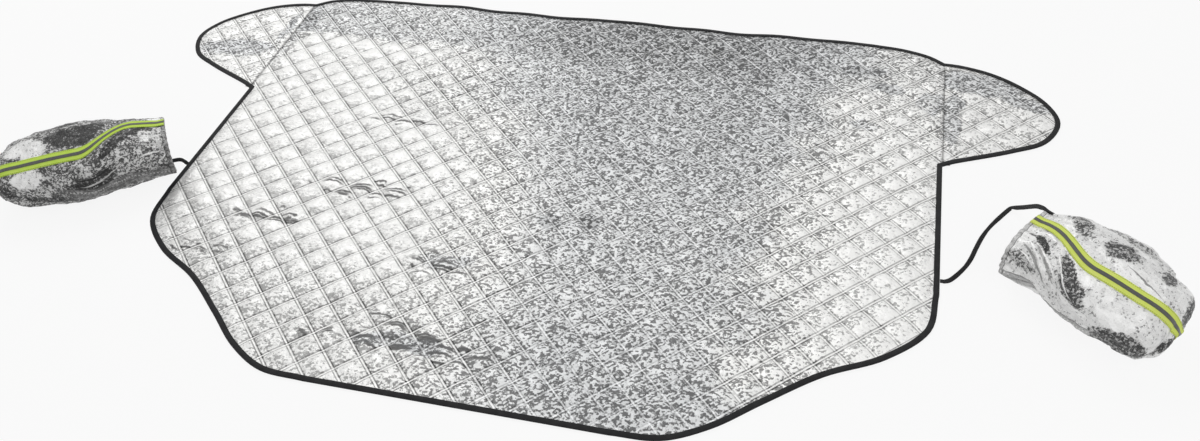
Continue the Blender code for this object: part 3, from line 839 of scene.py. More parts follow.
@dataclass
class Outline:
    """Outline of the sheet and its flaps, as the CAD has it."""

    step: float = 0.012
    ripple: float = 0.0025
    ripples: int = 7

    def lower(self) -> list[Vector]:
        """Right half of the wiper edge and the side up to the flap's root."""
        w, low = HALF_WIDTH, -WIPER_EDGE
        corner = [
            Vector((w - 0.475, low)),
            Vector((w - 0.395, low + 0.006)),
            Vector((w - 0.325, low + 0.043)),
            Vector((w - 0.255, low + 0.104)),
            Vector((w - 0.170, low + 0.175)),
            Vector((w - 0.078, low + 0.229)),
            Vector((w - 0.012, low + 0.301)),
            Vector((w, low + 0.385)),
        ]
        straight = spline([Vector((0.0, low)), corner[0]], self.step)[:-1]
        side = spline([corner[-1], Vector((w, FLAP_ROOT))], self.step)
        return straight + spline(corner, self.step)[:-1] + side

    def flap(self) -> list[Vector]:
        """Right door flap's free edge, from its root to the top of its seam."""
        w, reach, span = HALF_WIDTH, FLAP_REACH, FLAP_TOP - FLAP_ROOT
        shares = [
            (0.0, 0.0),
            (0.08, 0.032),
            (0.58, 0.188),
            (0.865, 0.306),
            (1.0, 0.507),
            (0.905, 0.685),
            (0.69, 0.825),
            (0.42, 0.933),
            (0.13, 0.992),
            (0.0, 1.0),
        ]
        return spline([Vector((w + reach * a, FLAP_ROOT + span * b)) for a, b in shares], self.step)

    def roof(self) -> list[Vector]:
        """Right half of the roof edge, from the top of the seam to the middle."""
        w = HALF_WIDTH
        corner = [
            Vector((w, FLAP_TOP)),
            Vector((w - 0.030, FLAP_TOP + 0.022)),
            Vector((w - 0.085, ROOF_EDGE - 0.006)),
            Vector((w - 0.150, ROOF_EDGE)),
        ]
        start = w - 0.150
        count = round(start / self.step)
        edge = []
        for i in range(1, count + 1):
            share = i / count
            lift = self.ripple * math.sin(math.pi * self.ripples * share) * math.sin(math.pi * share)
            edge.append(Vector((start * (1 - share), ROOF_EDGE + lift)))
        return spline(corner, self.step) + edge

    def whole(self) -> list[Vector]:
        """Closed outline, anticlockwise from above."""
        right = self.lower() + self.flap()[1:] + self.roof()[1:]
        left = [Vector((-p.x, p.y)) for p in reversed(right[1:-1])]
        return right + left

    @staticmethod
    def inset(points: Sequence[Vector], distance: float) -> list[Vector]:
        """Outline moved inwards.

        Args:
            points: Closed anticlockwise outline.
            distance: How far it moves.

        Returns:
            The new outline, point for point.
        """
        moved = []
        for i, point in enumerate(points):
            before = (point - points[i - 1]).normalized()
            after = (points[(i + 1) % len(points)] - point).normalized()
            tangent = (before + after).normalized()
            reach = distance / max(0.5, tangent.dot(before))
            moved.append(point + Vector((-tangent.y, tangent.x)) * reach)
        return moved

    @staticmethod
    def clip(points: Sequence[Vector], normal: Vector, limit: float) -> list[Vector]:
        """Keep the side of an outline where point . normal is at most limit."""
        kept = []
        for i, point in enumerate(points):
            following = points[(i + 1) % len(points)]
            here, there = point.dot(normal) - limit, following.dot(normal) - limit
            if here <= 0:
                kept.append(point)
            if here * there < 0:
                kept.append(point.lerp(following, here / (here - there)))
        return kept

    @staticmethod
    def area(points: Sequence[Vector]) -> float:
        """Area of a closed outline, in square metres."""
        return abs(sum(a.cross(b) for a, b in zip(points, [*points[1:], points[0]]))) / 2


def distance_in(where: np.ndarray, points: Sequence[Vector]) -> np.ndarray:
    """Distance from places to the nearest stretch of an outline.

    Args:
        where: Array of places; X and Y are used.
        points: Closed outline.

    Returns:
        The distances.
    """
    best = np.full(len(where), 9.0)
    for start, end in zip(points, [*points[1:], points[0]]):
        along = np.array(end - start)
        off = where[:, :2] - np.array(start)
        share = np.clip(off @ along / (along @ along), 0.0, 1.0)
        best = np.minimum(best, np.hypot(*(off - share[:, None] * along).T))
    return best


ROOF_RIPPLE = 0.0035
STORED_FOLDS = ((-0.214, 0.0016), (0.032, 0.0014))
STORED_FOLD_HALF = 0.010


def settle(where: np.ndarray) -> np.ndarray:
    """How high the spread sheet lifts off the floor: ripples at the roof edge and stored folds.

    Args:
        where: Array of places; X and Y are used.

    Returns:
        The lift in metres, from 0.
    """
    x, y = where[:, 0], where[:, 1]
    lift = ROOF_RIPPLE * rise(y, 0.36, 0.53) * (0.5 + 0.5 * np.sin(x * 15.0 + 1.0))
    inside = 1.0 - rise(np.abs(y), 0.46, 0.52)
    for at, height in STORED_FOLDS:
        lift = lift + height * np.exp(-(((x - at) / STORED_FOLD_HALF) ** 2)) * inside
    return lift


@dataclass
class QuiltedSheet:
    """A quilted stretch of the cover: pillows between stitched lines, thin at its bound edge.

    The foil is low on a quilting line, crown high in a pillow and lip high within the band under
    the tape. A seam is a flat stretch of seam_height along the sheet's side edge.
    """

    name: str
    node: str
    outline: list[Vector]
    rim: list[Vector]
    phase: Point
    finish: QuiltedFoil
    seams: tuple[int, ...]
    seam_height: float
    flat: Point
    low: float = 0.0032
    crown: float = 0.0086
    lip: float = 0.0024
    band: float = 0.0090
    offsets: tuple[float, ...] = (0.0013, 0.0030, 0.0085, 0.0158)
    crinkle: float = 0.0007
    felt_inset: float = 0.014

    def cuts(self) -> list[float]:
        """Places of the mesh's lines across one quilting square."""
        return [0.0, *self.offsets, CELL / 2, *(CELL - c for c in reversed(self.offsets))]

    def net(self) -> bmesh.types.BMesh:
        """The outline as one face, cut along the quilting."""
        bm = bmesh.new()
        bmesh.ops.create_circle(bm, cap_ends=True, radius=1.0, segments=len(self.outline))
        for vert, p in zip(bm.verts, self.outline):
            vert.co = (p.x, p.y, 0.0)
        for turn in (45, -45):
            way = Vector((math.cos(math.radians(turn)), math.sin(math.radians(turn)), 0.0))
            spread = [v.co.dot(way) for v in bm.verts]
            start = Vector((*self.phase, 0.0)).dot(way)
            first = math.floor((min(spread) - start) / CELL)
            last = math.ceil((max(spread) - start) / CELL)
            cuts = [start + cell * CELL + cut for cell in range(first, last) for cut in self.cuts()]
            self._split(bm, bm.faces[:], way, [c for c in cuts if min(spread) < c < max(spread)])
        return bm

    def _split(
        self, bm: bmesh.types.BMesh, faces: list[bmesh.types.BMFace], way: Vector, cuts: Sequence[float]
    ) -> None:
        """Cut faces square to a direction, the middle cut first and then each side's own.

        Args:
            bm: The mesh.
            faces: Faces to cut.
            way: Direction that the cuts are square to.
            cuts: Where they are, in rising order.
        """
        if not cuts or not faces:
            return
        middle = len(cuts) // 2
        at = cuts[middle]
        edges = dict.fromkeys(e for f in faces for e in f.edges)
        verts = dict.fromkeys(v for f in faces for v in f.verts)
        cut = bmesh.ops.bisect_plane(
            bm, geom=[*verts, *edges, *faces], dist=1e-6, plane_co=way * at, plane_no=way
        )["geom"]
        found = dict.fromkeys([*(g for g in cut if isinstance(g, bmesh.types.BMFace)), *faces])
        near = [f for f in found if f.calc_center_median().dot(way) < at]
        far = [f for f in found if f.calc_center_median().dot(way) >= at]
        self._split(bm, near, way, cuts[:middle])
        self._split(bm, far, way, cuts[middle + 1 :])

    def heights(self, where: np.ndarray) -> np.ndarray:
        """Height of the foil face over places of the sheet."""
        half = math.sqrt(0.5)
        x, y = where[:, 0] - self.phase[0], where[:, 1] - self.phase[1]
        a, b = (x + y) * half / CELL, (x - y) * half / CELL
        a, b = np.abs(a - np.round(a)) * 2, np.abs(b - np.round(b)) * 2
        puff = (1 - (1 - a) ** 2.6) * (1 - (1 - b) ** 2.6)
        uneven = np.array([noise.noise(Vector((p[0] * 16, p[1] * 16, 0.3))) for p in where])
        spots = [Vector((p[0] * 26, p[1] * 44, 1.7)) for p in where]
        crinkle = np.array([noise.ridged_multi_fractal(p, 0.9, 2.1, 3, 1.0, 2.0) for p in spots])
        puff = self.low + (self.crown - self.low) * puff ** 0.85 * (0.92 + 0.16 * uneven)
        puff += (crinkle - 1.0) * self.crinkle * rise(np.minimum(a, b), 0.04, 0.3)
        bound = distance_in(where, self.rim)
        height = self.lip + (puff - self.lip) * rise(bound, self.band - 0.001, self.band + 0.018)
        for sign in self.seams:
            near = rise(np.abs(where[:, 0] - sign * HALF_WIDTH), 0.013, 0.001)
            inside = rise(bound, self.band, self.band + 0.006)
            height = height + (self.seam_height - height) * near * inside
        return height

    def build(self) -> bpy.types.Object:
        """Build the sheet, closed by its felt underside.

        Returns:
            The finished piece.
        """
        bm = self.net()
        where = places(bm)
        heights = self.heights(where)
        lifts = settle(where)
        rim = [e for e in bm.edges if e.is_boundary]
        grown = bmesh.ops.extrude_edge_only(bm, edges=rim)["geom"]
        skirt = dict.fromkeys(v for v in grown if isinstance(v, bmesh.types.BMVert))
        under_edges = [e for e in grown if isinstance(e, bmesh.types.BMEdge)]
        back = bmesh.ops.contextual_create(bm, geom=under_edges)["faces"]
        bmesh.ops.triangulate(bm, faces=back)
        for vert, height, lift in zip(list(bm.verts), heights, lifts):
            vert.co.z = height + lift
        under = list(skirt)
        for vert, lift in zip(under, settle(np.array([v.co[:] for v in under]))):
            vert.co.z = self.lip * 0.45 + lift
        felt = [f for f in bm.faces if all(v in skirt for v in f.verts)]
        for face in felt:
            face.material_index = 1
        inner = bmesh.ops.inset_region(bm, faces=felt, thickness=self.felt_inset, use_even_offset=True)
        rim_verts = {v for f in inner["faces"] for v in f.verts if v in skirt}
        for face in inner["faces"]:
            face.material_index = 1
        for face in bm.faces:
            if face.material_index == 1:
                for vert in face.verts:
                    if vert not in rim_verts:
                        vert.co.z = 0.0
        bmesh.ops.recalc_face_normals(bm, faces=bm.faces)
        piece = put(self.name, bm, [self.finish.make(), Backing(self.name + "_felt").make()])
        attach(piece, "root")
        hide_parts(self.node)
        return piece

    def declare(self) -> None:
        """Work out the area of the sheet's outline; the result is dropped."""
        Outline.area(self.outline)


@dataclass
class Binding:
    """Folded black tape round the whole outline.

    The profile's points are shares of the reach inwards, and heights in metres.
    """

    outline: list[Vector]
    reach: float = 0.0101
    rib: float = 0.0011
    fresh: Colour = (0.012, 0.012, 0.013)
    worn: Colour = (0.045, 0.045, 0.047)
    profile: tuple[Point, ...] = (
        (1.00, 0.0005),
        (0.55, 0.0000),
        (0.12, 0.0000),
        (0.02, 0.0007),
        (0.00, 0.0018),
        (0.02, 0.0030),
        (0.12, 0.0038),
        (0.55, 0.0040),
        (0.96, 0.0037),
        (1.00, 0.0033),
        (0.96, 0.0029),
        (0.30, 0.0027),
        (0.14, 0.0018),
        (0.30, 0.0009),
        (0.96, 0.0009),
    )

    def build(self) -> bpy.types.Object:
        """Sweep the tape's section round the outline.

        Returns:
            The finished piece.
        """
        finish = Webbing("black_binding_tape", self.fresh, self.worn, self.rib)
        count = len(self.outline)
        inward = [m - p for m, p in zip(Outline.inset(self.outline, 1.0), self.outline)]
        pucker = [1.0 + 0.05 * noise.noise(Vector((p.x * 60, p.y * 60, 4.0))) for p in self.outline]
        lifts = settle(np.array([p[:] for p in self.outline]))
        steps = [(b - a).length for a, b in zip(self.outline, [*self.outline[1:], self.outline[0]])]
        run = np.cumsum([0.0, *steps])
        section = [*self.profile, self.profile[0]]
        over = [0.0]
        for (d0, h0), (d1, h1) in zip(section, section[1:]):
            over.append(over[-1] + math.hypot((d1 - d0) * self.reach, h1 - h0))
        bm = bmesh.new()
        bmesh.ops.create_grid(bm, x_segments=count, y_segments=len(section) - 1, size=1.0)
        uv = bm.loops.layers.uv.new("tape")
        for vert in bm.verts:
            i = round((vert.co.x + 1) / 2 * count)
            k = round((vert.co.y + 1) / 2 * (len(section) - 1))
            for loop in vert.link_loops:
                loop[uv].uv = (run[i], over[k])
            depth, height = section[k]
            i %= count
            p = self.outline[i] + inward[i] * depth * self.reach * (pucker[i] if depth > 0.5 else 1.0)
            vert.co = (p.x, p.y, height + lifts[i])
        bmesh.ops.remove_doubles(bm, verts=bm.verts, dist=1e-6)
        bmesh.ops.recalc_face_normals(bm, faces=bm.faces)
        piece = put("edge_binding_tape", bm, [finish.make()])
        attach(piece, "root")
        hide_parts("edge_binding")
        return piece


@dataclass
class Ribbon:
    """Flat elastic strap along a route.

    Each knot of the route gives its distance out from the seam, its Y, its Z and its lean in degrees.
    """

    side: Side
    route: tuple[tuple[float, float, float, float], ...]
    width: float = 0.0080
    wall: float = 0.0010
    fine: int = 6

    def line(self) -> tuple[list[Vector], list[float]]:
        """Smooth middle line of the strap, and how far it leans at each point."""
        sign = self.side.value
        knots = [Vector((sign * (HALF_WIDTH + out), y, z)) for out, y, z, _ in self.route]
        points: list[Vector] = []
        leans: list[float] = []
        for i in range(len(knots) - 1):
            before, after = knots[max(0, i - 1)], knots[min(len(knots) - 1, i + 2)]
            for k in range(self.fine):
                t = k / self.fine
                a, b = knots[i], knots[i + 1]
                bend = (2 * before - 5 * a + 4 * b - after) * t**2
                twist = (3 * a - before - 3 * b + after) * t**3
                points.append(0.5 * (2 * a + (b - before) * t + bend + twist))
                leans.append(self.route[i][3] * (1 - t) + self.route[i + 1][3] * t)
        points.append(knots[-1])
        leans.append(self.route[-1][3])
        return points, leans

    def build(self) -> bpy.types.Object:
        """Returns:
            The finished piece.
        """
        points, leans = self.line()
        bm = bmesh.new()
        count = len(points)
        bmesh.ops.create_grid(bm, x_segments=count - 1, y_segments=4, size=1.0)
        uv = bm.loops.layers.uv.new("tape")
        run = [0.0]
        for a, b in zip(points, points[1:]):
            run.append(run[-1] + (b - a).length)
        for vert in bm.verts:
            i = round((vert.co.x + 1) / 2 * (count - 1))
            share = vert.co.y
            for loop in vert.link_loops:
                loop[uv].uv = (run[i], share * self.width / 2)
            ahead = (points[min(i + 1, count - 1)] - points[max(i - 1, 0)]).normalized()
            level = ahead.cross(Vector((0, 0, 1))).normalized()
            across = Matrix.Rotation(math.radians(leans[i]), 3, ahead) @ level
            vert.co = points[i] + across * (share * self.width / 2) + across.cross(ahead) * (self.wall / 2)
        bmesh.ops.recalc_face_normals(bm, faces=bm.faces)
        bmesh.ops.solidify(bm, geom=bm.faces[:], thickness=self.wall)
        finish = Webbing(f"{self.side.word}_strap_elastic", ELASTIC_BLACK, ELASTIC_WORN, ELASTIC_RIB)
        piece = put(f"{self.side.word}_elastic_strap", bm, [finish.make()])
        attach(piece, "root")
        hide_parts(f"{self.side.word}_strap")
        return piece


@dataclass(frozen=True)
class Fold:
    """A straight crease or hollow of a cover's skin, between two places on its surface map.

    A level one keeps its height right to its ends and stays clear of the mouth, as the broad
    hollows do.
    """

    start: Point
    end: Point
    rise: float
    wide: float
    level: bool = False


@dataclass(frozen=True)
class Trim:
    """A tape on the ridge: half its width, stand-off from the skin, thickness, faces across it."""

    half: float
    lift: float
    wall: float
    across: int


@dataclass(frozen=True)
class Skin:
    """Dressed skin of a pouch in the object's frame, by column and row of its net.

    It holds places, outward directions, distances from the ridge and distances from the mouth.
    """

    places: np.ndarray
    ways: np.ndarray
    arcs: np.ndarray
    runs: np.ndarray


@dataclass
class MirrorCover:
    """Padded foil pouch: skin with a gathered mouth, tape and strip along its ridge, elastic.

    The ridge's four numbers are its angle at the mouth and at the closed end, and the start and
    the span of the turn between them, as shares of the length. Each step of the hem goes so far
    into the wall and so far into the pouch.
    """

    side: Side
    mouth: Point
    heading: float
    length: float
    fill: float
    ridge: tuple[float, float, float, float]
    finish: CoverFoil
    yellow: tuple[Colour, Colour]
    folds: tuple[Fold, ...] = ()
    seed: float = 0.0
    half_width: float = 0.101
    up: float = 0.077
    down: float = 0.059
    mouth_half: float = 0.070
    mouth_up: float = 0.055
    mouth_down: float = 0.050
    cap: float = 0.062
    taper: float = 0.16
    hem: float = 0.0140
    square: float = 2.5
    ridge_pinch: float = 0.045
    end_pinch: float = 0.20
    columns: int = 216
    rows: int = 96
    wall: float = 0.0010
    crumple: float = 0.0026
    pleats: int = 22
    slant: float = 0.0
    slant_way: Point = (0.81, 0.587)
    slant_fade: float = 0.060
    dent: float = 0.0060
    gather: float = 0.0042
    gather_fade: float = 0.050
    clear_from: float = 0.013
    clear_over: float = 0.040
    taped: float = 0.56
    flat_half: float = 0.011
    flat_fade: float = 0.016
    off_floor: float = 0.0006
    hem_steps: tuple[Point, ...] = (
        (0.0006, -0.0008),
        (0.0030, -0.0008),
        (0.0037, 0.0004),
        (0.0038, 0.0050),
        (0.0038, 0.0138),
    )
    elastic_half: float = 0.0050
    elastic_wall: float = 0.0008
    elastic_inside: float = 0.0016
    elastic_ahead: float = 0.0067
    hi_vis: Trim = Trim(0.0125, 0.0004, 0.0006, 10)
    reflective: Trim = Trim(0.0035, 0.0012, 0.0004, 4)
    seam_allowance: float = 0.045

    def girth(self, x: float) -> tuple[float, float, float]:
        """Half width, rise and sink at a distance from the mouth."""
        swell = math.sin(math.pi / 2 * max(0.0, min(1.0, (x - self.hem) / (0.60 * self.length))))
        late = max(0.0, x / self.length - 0.45) / 0.35
        size = self.fill * (1 - self.taper * min(1.0, late) ** 2)
        pairs = ((self.mouth_half, self.half_width), (self.mouth_up, self.up), (self.mouth_down, self.down))
        return tuple((a + (b - a) * swell) * size for a, b in pairs)

    def ridge_angle(self, x: float) -> float:
        """Angle of the taped ridge above the cover's front side."""
        at_mouth, at_end, start, span = self.ridge
        share = (x - self.hem - start * self.length) / (span * self.length)
        return at_mouth + (at_end - at_mouth) * (1 - math.cos(math.pi * max(0.0, min(1.0, share)))) / 2

    def local(self, x: float, turn: float, lean: float) -> Vector:
        """Place on the undressed skin, before the cover is laid down.

        Args:
            x: Distance from the mouth.
            turn: Turn about the closed end, from 0 on the taped side to pi behind.
            lean: Angle away from the ridge.

        Returns:
            The place, with the mouth's middle at x = 0.
        """
        ridge = self.ridge_angle(x)
        first = Vector((0, math.cos(ridge), math.sin(ridge)))
        second = Vector((0, -math.sin(ridge), math.cos(ridge)))
        level = first * math.cos(turn) + Vector((1, 0, 0)) * math.sin(turn)
        way = level * math.cos(lean) + second * math.sin(lean)
        width, rise_, sink = self.girth(x)
        power = self.square
        reach = (abs(way.x) ** power + abs(way.y) ** power + abs(way.z) ** power) ** (-1 / power)
        pinch = self.ridge_pinch * max(0.0, math.cos(turn)) + self.end_pinch * math.sin(turn) ** 2
        reach *= 1 - pinch * math.exp(-((lean / 0.42) ** 2))
        facing = self.slant_way[0] * width * way.y * reach + self.slant_way[1] * rise_ * way.z * reach
        fade = math.exp(-max(0.0, x) / self.slant_fade)
        pull = -facing * (0.6 if facing > 0 else 1.4) * self.slant * fade
        out = Vector((x + pull + self.cap * way.x * reach, width * way.y * reach, 0))
        out.z = self.down + (rise_ if way.z > 0 else sink) * way.z * reach
        return out

    def column(self, share: float) -> tuple[float, float]:
        """Distance from the mouth and turn, for a share of the way round the cover."""
        body = self.length - self.cap
        bend = self.cap * math.pi * 0.62
        at = share * (2 * body + bend)
        if at < body:
            return at, 0.0
        if at < body + bend:
            return body, (at - body) / bend * math.pi
        return 2 * body + bend - at, math.pi

    def net(self) -> np.ndarray:
        """Places of the whole skin: column, row, then X, Y and Z."""
        out = np.zeros((self.columns + 1, self.rows + 1, 3))
        for i in range(self.columns + 1):
            x, turn = self.column(i / self.columns)
            for j in range(self.rows + 1):
                out[i, j] = self.local(x, turn, (j / self.rows * 2 - 1) * math.pi / 2)
        out[:, :, 2] -= out[:, :, 2].min()
        return out

    def arcs(self, net: np.ndarray) -> np.ndarray:
        """Distance of each place of the net from the ridge, along the skin, signed."""
        steps = np.linalg.norm(np.diff(net, axis=1), axis=2)
        run = np.concatenate([np.zeros((len(net), 1)), np.cumsum(steps, axis=1)], axis=1)
        return run - run[:, self.rows // 2 : self.rows // 2 + 1]

    def runs(self, net: np.ndarray) -> np.ndarray:
        """Distance of each column from the mouth, along the ridge."""
        steps = np.linalg.norm(np.diff(net[:, self.rows // 2], axis=0), axis=1)
        return np.concatenate([[0.0], np.cumsum(steps)])

    def to_world(self, p: np.ndarray) -> np.ndarray:
        """Lay places of the cover down beside the sheet."""
        c, s = math.cos(self.heading), math.sin(self.heading)
        hand = -self.side.value
        x = self.mouth[0] + c * p[..., 0] - s * hand * p[..., 1]
        y = self.mouth[1] + s * p[..., 0] + c * hand * p[..., 1]
        return np.stack([x, y, p[..., 2]], axis=-1)

    def normals(self, net: np.ndarray) -> np.ndarray:
        """Outward directions of the net's places."""
        du = np.gradient(net, axis=0)
        dv = np.gradient(net, axis=1)
        out = np.cross(du, dv)
        size = np.linalg.norm(out, axis=2, keepdims=True)
        out = out / np.maximum(size, 1e-12)
        away = net - net.mean(axis=(0, 1))
        return out * (1.0 if (out * away).sum() > 0 else -1.0)

    def dress(self, net: np.ndarray) -> np.ndarray:
        """Push the skin about: pleats at the mouth, dents, crumples and folds.

        Args:
            net: Places of the plain skin.

        Returns:
            How far each place moves outwards.
        """
        arcs, runs = self.arcs(net), self.runs(net)
        total = runs[-1]
        out = np.zeros(net.shape[:2])
        for i in range(net.shape[0]):
            x = min(runs[i], total - runs[i])
            for j in range(net.shape[1]):
                p = Vector(net[i, j])
                angle = math.atan2(p.z - self.down, p.y)
                q = Vector((p.x * 11 + self.seed, p.y * 15, p.z * 15))
                dent = noise.noise(q) * self.dent
                r = Vector((p.x * 26 + self.seed, p.y * 34, p.z * 34))
                crush = (noise.ridged_multi_fractal(r, 0.85, 2.2, 4, 1.0, 2.0) - 1.1) * self.crumple
                wave = abs(math.sin(angle * self.pleats / 2 + 1.7 * noise.noise(q * 1.7)))
                gather = -self.gather * (1 - wave) * math.exp(-max(0.0, x - self.hem) / self.gather_fade)
                free = min(1.0, max(0.0, x - self.clear_from) / self.clear_over)
                loose = 1.0
                if runs[i] < total * self.taped:
                    loose = min(1.0, max(0.0, (abs(arcs[i, j]) - self.flat_half) / self.flat_fade))
                out[i, j] = (dent * free + crush * free + gather) * (0.12 + 0.88 * loose)
        for fold in self.folds:
            a, b = np.array(fold.start), np.array(fold.end)
            here = np.stack([np.broadcast_to(runs[:, None], arcs.shape), arcs], axis=-1)
            along = b - a
            share = np.clip(((here - a) @ along) / (along @ along), 0.0, 1.0)
            far = np.linalg.norm(here - a - share[..., None] * along, axis=-1)
            ends = np.sin(np.pi * np.clip(share, 0.04, 0.96)) ** 0.5
            if fold.level:
                inside = np.minimum(runs, total - runs)[:, None] - self.clear_from
                ends = np.clip(inside / self.clear_over, 0.0, 1.0)
            out += fold.rise * np.exp(-((far / fold.wide) ** 1.3)) * ends
        return out

    def laid(self) -> Skin:
        """The dressed skin, laid down beside the sheet."""
        net = self.net()
        arcs, runs = self.arcs(net), self.runs(net)
        way = self.normals(net)
        way[:, 0] = way[:, 1] + way[::-1, 1]
        way[:, -1] = way[:, -2] + way[::-1, -2]
        way /= np.maximum(np.linalg.norm(way, axis=2, keepdims=True), 1e-9)
        net = net + way * self.dress(net)[..., None]
        body = self.length - self.cap
        closed = [i for i in range(self.columns + 1) if self.column(i / self.columns)[0] >= body]
        for spine in (0, -1):
            net[:, spine] = (net[:, spine] + net[::-1, spine]) / 2
            net[closed, spine] = net[closed, spine].mean(axis=0)
            way[closed, spine] = way[closed, spine].mean(axis=0)
        net[..., 2] = np.maximum(net[..., 2], self.off_floor)
        world = self.to_world(net)
        return Skin(world, self.to_world(net + way) - world, arcs, runs)

    def shell(self, skin: Skin) -> bpy.types.Object:
        """Build the skin of the pouch with its hem turned in.

        Args:
            skin: The dressed skin.

        Returns:
            The finished piece.
        """
        arcs, runs = skin.arcs, skin.runs
        bm = bmesh.new()
        bmesh.ops.create_grid(bm, x_segments=self.columns, y_segments=self.rows, size=1.0)
        uv = bm.loops.layers.uv.new("skin")
        rim = bm.loops.layers.uv.new("rim")
        inward = bm.verts.layers.float_vector.new("inward")
        for vert in bm.verts:
            i = round((vert.co.x + 1) / 2 * self.columns)
            j = round((vert.co.y + 1) / 2 * self.rows)
            vert.co = skin.places[i, j]
            vert[inward] = -skin.ways[i, j]
            front = 1.0 if i <= self.columns // 2 else -1.0
            for loop in vert.link_loops:
                loop[uv].uv = (runs[i], arcs[i, j])
                loop[rim].uv = (min(runs[i], runs[-1] - runs[i]), front * (arcs[i, j] - arcs[i, 0]))
        bmesh.ops.remove_doubles(bm, verts=bm.verts, dist=1e-5)
        bmesh.ops.recalc_face_normals(bm, faces=bm.faces)
        into = Vector((math.cos(self.heading), math.sin(self.heading), 0.0))
        edges = [e for e in bm.edges if e.is_boundary]
        base = {v: (v.co.copy(), v[inward].copy()) for e in edges for v in e.verts}
        here = {v: v for v in base}
        for depth, ahead in self.hem_steps:
            grown = bmesh.ops.extrude_edge_only(bm, edges=edges)["geom"]
            fresh = {v for v in grown if isinstance(v, bmesh.types.BMVert)}
            edges = [e for e in grown if isinstance(e, bmesh.types.BMEdge)]
            following = {}
            for origin, current in here.items():
                others = [e.other_vert(current) for e in current.link_edges]
                inner = next(v for v in others if v in fresh)
                place, pull = base[origin]
                inner.co = place + pull * depth + into * ahead
                following[origin] = inner
            here = following
        bmesh.ops.recalc_face_normals(bm, faces=bm.faces)
        bmesh.ops.solidify(bm, geom=bm.faces[:], thickness=self.wall)
        piece = put(f"{self.side.word}_mirror_cover", bm, [self.finish.make()])
        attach(piece, "root")
        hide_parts(f"{self.side.word}_cover_back_half", f"{self.side.word}_cover_front_half")
        return piece

    def band(
        self, name: str, node: str, slot: str, trim: Trim, finish: bpy.types.Material, skin: Skin
    ) -> bpy.types.Object:
        """Build a tape along the ridge, from the mouth round the closed end.

        Args:
            name: Name of the piece.
            node: CAD node that it replaces.
            slot: Not used.
            trim: Its sizes.
            finish: Its material.
            skin: The dressed skin.

        Returns:
            The finished piece.
        """
        arcs, runs = skin.arcs, skin.runs
        bm = bmesh.new()
        last = round(self.columns * self.taped)
        bmesh.ops.create_grid(bm, x_segments=last, y_segments=trim.across, size=1.0)
        uv = bm.loops.layers.uv.new("tape")
        for vert in bm.verts:
            i = round((vert.co.x + 1) / 2 * last)
            arc = vert.co.y * trim.half
            place = np.array([np.interp(arc, arcs[i], skin.places[i, :, k]) for k in range(3)])
            out = np.array([np.interp(arc, arcs[i], skin.ways[i, :, k]) for k in range(3)])
            out /= np.linalg.norm(out)
            for loop in vert.link_loops:
                loop[uv].uv = (runs[i], arc)
            pucker = 0.0004 * noise.noise(Vector((runs[i] * 90, arc * 120, self.seed))) * abs(vert.co.y)
            vert.co = place + out * (trim.lift + trim.wall + pucker)
        bmesh.ops.recalc_face_normals(bm, faces=bm.faces)
        outwards = Vector(skin.ways[round(self.columns * 0.2), self.rows // 2])
        if sum(f.normal.dot(outwards) for f in bm.faces) < 0:
            bmesh.ops.reverse_faces(bm, faces=bm.faces)
        bmesh.ops.solidify(bm, geom=bm.faces[:], thickness=trim.wall)
        piece = put(name, bm, [finish])
        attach(piece, "root")
        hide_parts(node)
        return piece

    def elastic(self, skin: Skin) -> bpy.types.Object:
        """Build the elastic ring inside the hem.

        Args:
            skin: The dressed skin.

        Returns:
            The finished piece.
        """
        front = [*zip(skin.places[0], skin.ways[0])]
        behind = [*zip(skin.places[-1], skin.ways[-1])]
        ring = [*front, *reversed(behind)]
        into = np.array([math.cos(self.heading), math.sin(self.heading), 0.0])
        bm = bmesh.new()
        bmesh.ops.create_grid(bm, x_segments=len(ring) - 1, y_segments=5, size=1.0)
        uv = bm.loops.layers.uv.new("tape")
        for vert in bm.verts:
            i = round((vert.co.x + 1) / 2 * (len(ring) - 1))
            for loop in vert.link_loops:
                loop[uv].uv = (i * 0.0028, vert.co.y * self.elastic_half)
            place, out = ring[i]
            ahead = self.elastic_ahead + vert.co.y * self.elastic_half
            vert.co = place - out * self.elastic_inside + into * ahead
        bmesh.ops.remove_doubles(bm, verts=bm.verts, dist=1e-5)
        bmesh.ops.recalc_face_normals(bm, faces=bm.faces)
        bmesh.ops.solidify(bm, geom=bm.faces[:], thickness=self.elastic_wall)
        word = self.side.word
        finish = Webbing(f"{word}_mouth_elastic_rib", ELASTIC_BLACK, ELASTIC_WORN, ELASTIC_RIB)
        piece = put(f"{word}_mouth_elastic", bm, [finish.make()])
        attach(piece, "root")
        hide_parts(f"{word}_cover_mouth_elastic")
        return piece

    def build(self) -> list[bpy.types.Object]:
        """Returns:
            The finished pieces.
        """
        word = self.side.word
        skin = self.laid()
        shell = self.shell(skin)
        weave = Webbing(f"{word}_hi_vis_weave", *self.yellow, rib=0.0012, edge_stitch=0.0108, rough=0.7)
        beads = ReflectiveStrip(f"{word}_reflective_beads")
        bands = [
            self.band(f"{word}_{kind}", f"{word}_cover_{kind}", slot, trim, finish.make(), skin)
            for kind, slot, trim, finish in (
                ("hi_vis_tape", "hi_vis_yellow", self.hi_vis, weave),
                ("reflective_strip", "reflective_grey", self.reflective, beads),
            )
        ]
        ring = self.elastic(skin)
        widest = skin.arcs[self.columns // 4]
        girth = 2 * (abs(widest[0]) + abs(widest[-1]))
        return [shell, *bands, ring]


